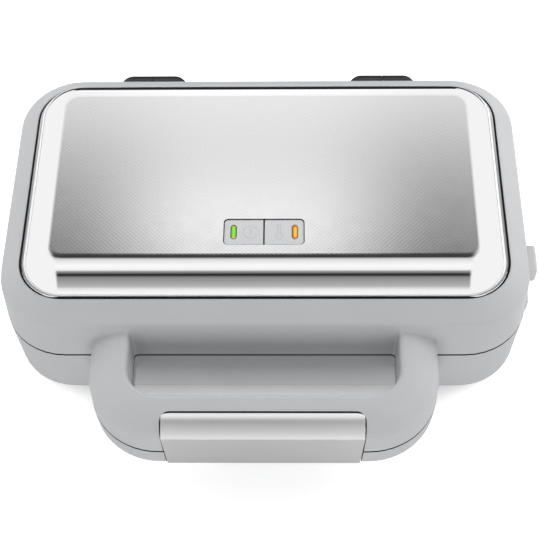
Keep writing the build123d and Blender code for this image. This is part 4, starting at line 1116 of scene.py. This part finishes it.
def makeLatch(shape):
    rear = -(shape["face"] - shape["back"])
    face = -shape["face"]
    crease = lidLow.z + shape["creaseRise"]
    top = crease + shape["slope"]
    bottom = baseHigh.z - shape["drop"]
    pivotY, pivotZ = face + shape["pivotBack"], top - shape["pivotDrop"]
    sheet = shape["sheet"]

    def topAt(share, drop):
        # share runs from 0 at the crease to 1 at the rear edge
        height = crease + (top - crease) * share + 4 * shape["bulge"] * share * (1 - share) - drop
        return (face + shape["back"] * share, height)

    outline = [
        *[topAt(1 - step / 8, 0) for step in range(9)], (face, bottom), (face + sheet + shape["hook"], bottom),
        (face + sheet + shape["hook"], bottom + shape["hookThickness"]),
        (face + sheet, bottom + shape["hookThickness"]),
        (face + sheet, topAt(sheet / shape["back"], sheet)[1]), *[topAt(step / 8, sheet) for step in range(2, 9)],
    ]
    latch = prismAcross("handleLatch", [(middleY + y, z) for y, z in outline], shape["halfTop"])
    editPiece(latch)
    pickPoints(latch, lambda point: point.z < crease - 5 * mm)
    bpy.ops.transform.resize(value=(shape["halfBottom"] / shape["halfTop"], 1, 1), center_override=(0, 0, 0))
    pickEdges(latch, lambda a, b: min(a.y, b.y) > middleY + rear - 0.01 * mm and abs(a.x - b.x) < 0.01 * mm)
    bpy.ops.mesh.bevel(offset=shape["corner"], segments=8, affect="EDGES", clamp_overlap=False)
    stopEditing()
    ears = []
    for x in (-46 * mm, 46 * mm):
        half = shape["ear"]
        under = [
            (pivotY - half, pivotZ), (pivotY - half, topAt((pivotY - half - face) / shape["back"], sheet / 2)[1]),
            (pivotY + half, topAt((pivotY + half - face) / shape["back"], sheet / 2)[1]), (pivotY + half, pivotZ),
        ]
        ear = prismAcross("ear", [
            (middleY + y, z) for y, z in under + arcPoints((pivotY, pivotZ), half, 0, -180, 12)[1:-1]
        ], 1.5 * mm)
        ear.location.x = x
        placeMesh(ear)
        ears.append(ear)
    softEdges(latch, 0.45 * mm, 3, 30)
    joinPieces(latch, *ears)
    smoothPiece(latch, 30)
    finishPiece(latch, "latch", finishes["latch_satin"], "latch_satin", "handle_latch")


makeLatch(latchShape)
print("latch done")


# indicator panel

panelShape = {
    "middle": -18.9 * mm,
    "width": 42.0 * mm,
    "depth": 15.8 * mm,
    "corner": 2.0 * mm,
    "split": 0.8 * mm,
    "sunk": 0.5 * mm,
    "tile": 1.9 * mm,
    "lens": (16.1 * mm, -18.7 * mm),
    "lensWidth": 2.9 * mm,
    "lensLength": 8.9 * mm,
}


def makePanel(shape):
    middle = shape["middle"]
    top = coverHigh.z - shape["sunk"]
    for side, name, lensName, node, lensNode in (
        (-1, "powerTile", "powerLens", "power_tile", "power_lens"),
        (1, "readyTile", "readyLens", "ready_tile", "ready_lens"),
    ):
        inner = side * shape["split"] / 2
        outer = side * shape["width"] / 2
        tile = blockTool(
            name, (min(inner, outer), max(inner, outer)),
            (middle - shape["depth"] / 2, middle + shape["depth"] / 2), (top - shape["tile"], top),
        )
        editPiece(tile)
        pickEdges(tile, lambda a, b: abs(a.x - outer) < 0.01 * mm and abs(b.x - outer) < 0.01 * mm
                  and abs(a.z - b.z) > 1 * mm)
        bpy.ops.mesh.bevel(offset=shape["corner"], segments=6, affect="EDGES")
        stopEditing()
        centre = (side * shape["lens"][0] + (0.25 * mm if side > 0 else 0), shape["lens"][1])
        cutWith(tile, slotPiece(
            "lensSlot", centre, shape["lensWidth"] + 0.5 * mm, shape["lensLength"] + 0.5 * mm,
            top - 3 * mm, top + 1 * mm,
        ))
        softEdges(tile, 0.28 * mm, 3, 40)
        smoothPiece(tile, 30)
        finishPiece(tile, "lid", finishes["panel_tile"], "panel_tile", node)
        lens = slotPiece(
            lensName, centre, shape["lensWidth"], shape["lensLength"],
            top - 2.6 * mm, top - 0.25 * mm,
        )
        softEdges(lens, 0.7 * mm, 4, 40)
        smoothPiece(lens, 60)
        colour = "green_lens" if side < 0 else "amber_lens"
        finishPiece(lens, "lid", finishes[colour], colour, lensNode)


makePanel(panelShape)
print("panel done")


# pieces taken over from the CAD, merged and softened

def softCopy(name, nodeName, body, slotName, edge):
    piece = mergedCopy(nodeName)
    piece.name = name
    if edge:
        softEdges(piece, edge, 3, 30)
    smoothPiece(piece, 35)
    finishPiece(piece, body, finishes[slotName], slotName, nodeName)
    return piece


for name, nodeName, body, slotName, edge in (
    ("upperButton", "upper_release_button", "upper_button", "button_grey", 0.3 * mm),
    ("lowerButton", "lower_release_button", "lower_button", "button_grey", 0.3 * mm),
    ("upperPlate", "upper_cooking_plate", "lid", "plate_coating", 0.35 * mm),
    ("lowerPlate", "lower_cooking_plate", "base", "plate_coating", 0.35 * mm),
):
    softCopy(name, nodeName, body, slotName, edge)

for name, nodeName, body, joint in (
    ("upperSpring", "upper_release_spring", "lid", "upper_release"),
    ("lowerSpring", "lower_release_spring", "base", "lower_release"),
):
    # each release spring is taken over as a merged, smoothed copy with its own mesh
    spring = softCopy(name, nodeName, body, "steel_hardware", 0)
    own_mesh(spring)
print("copies done")
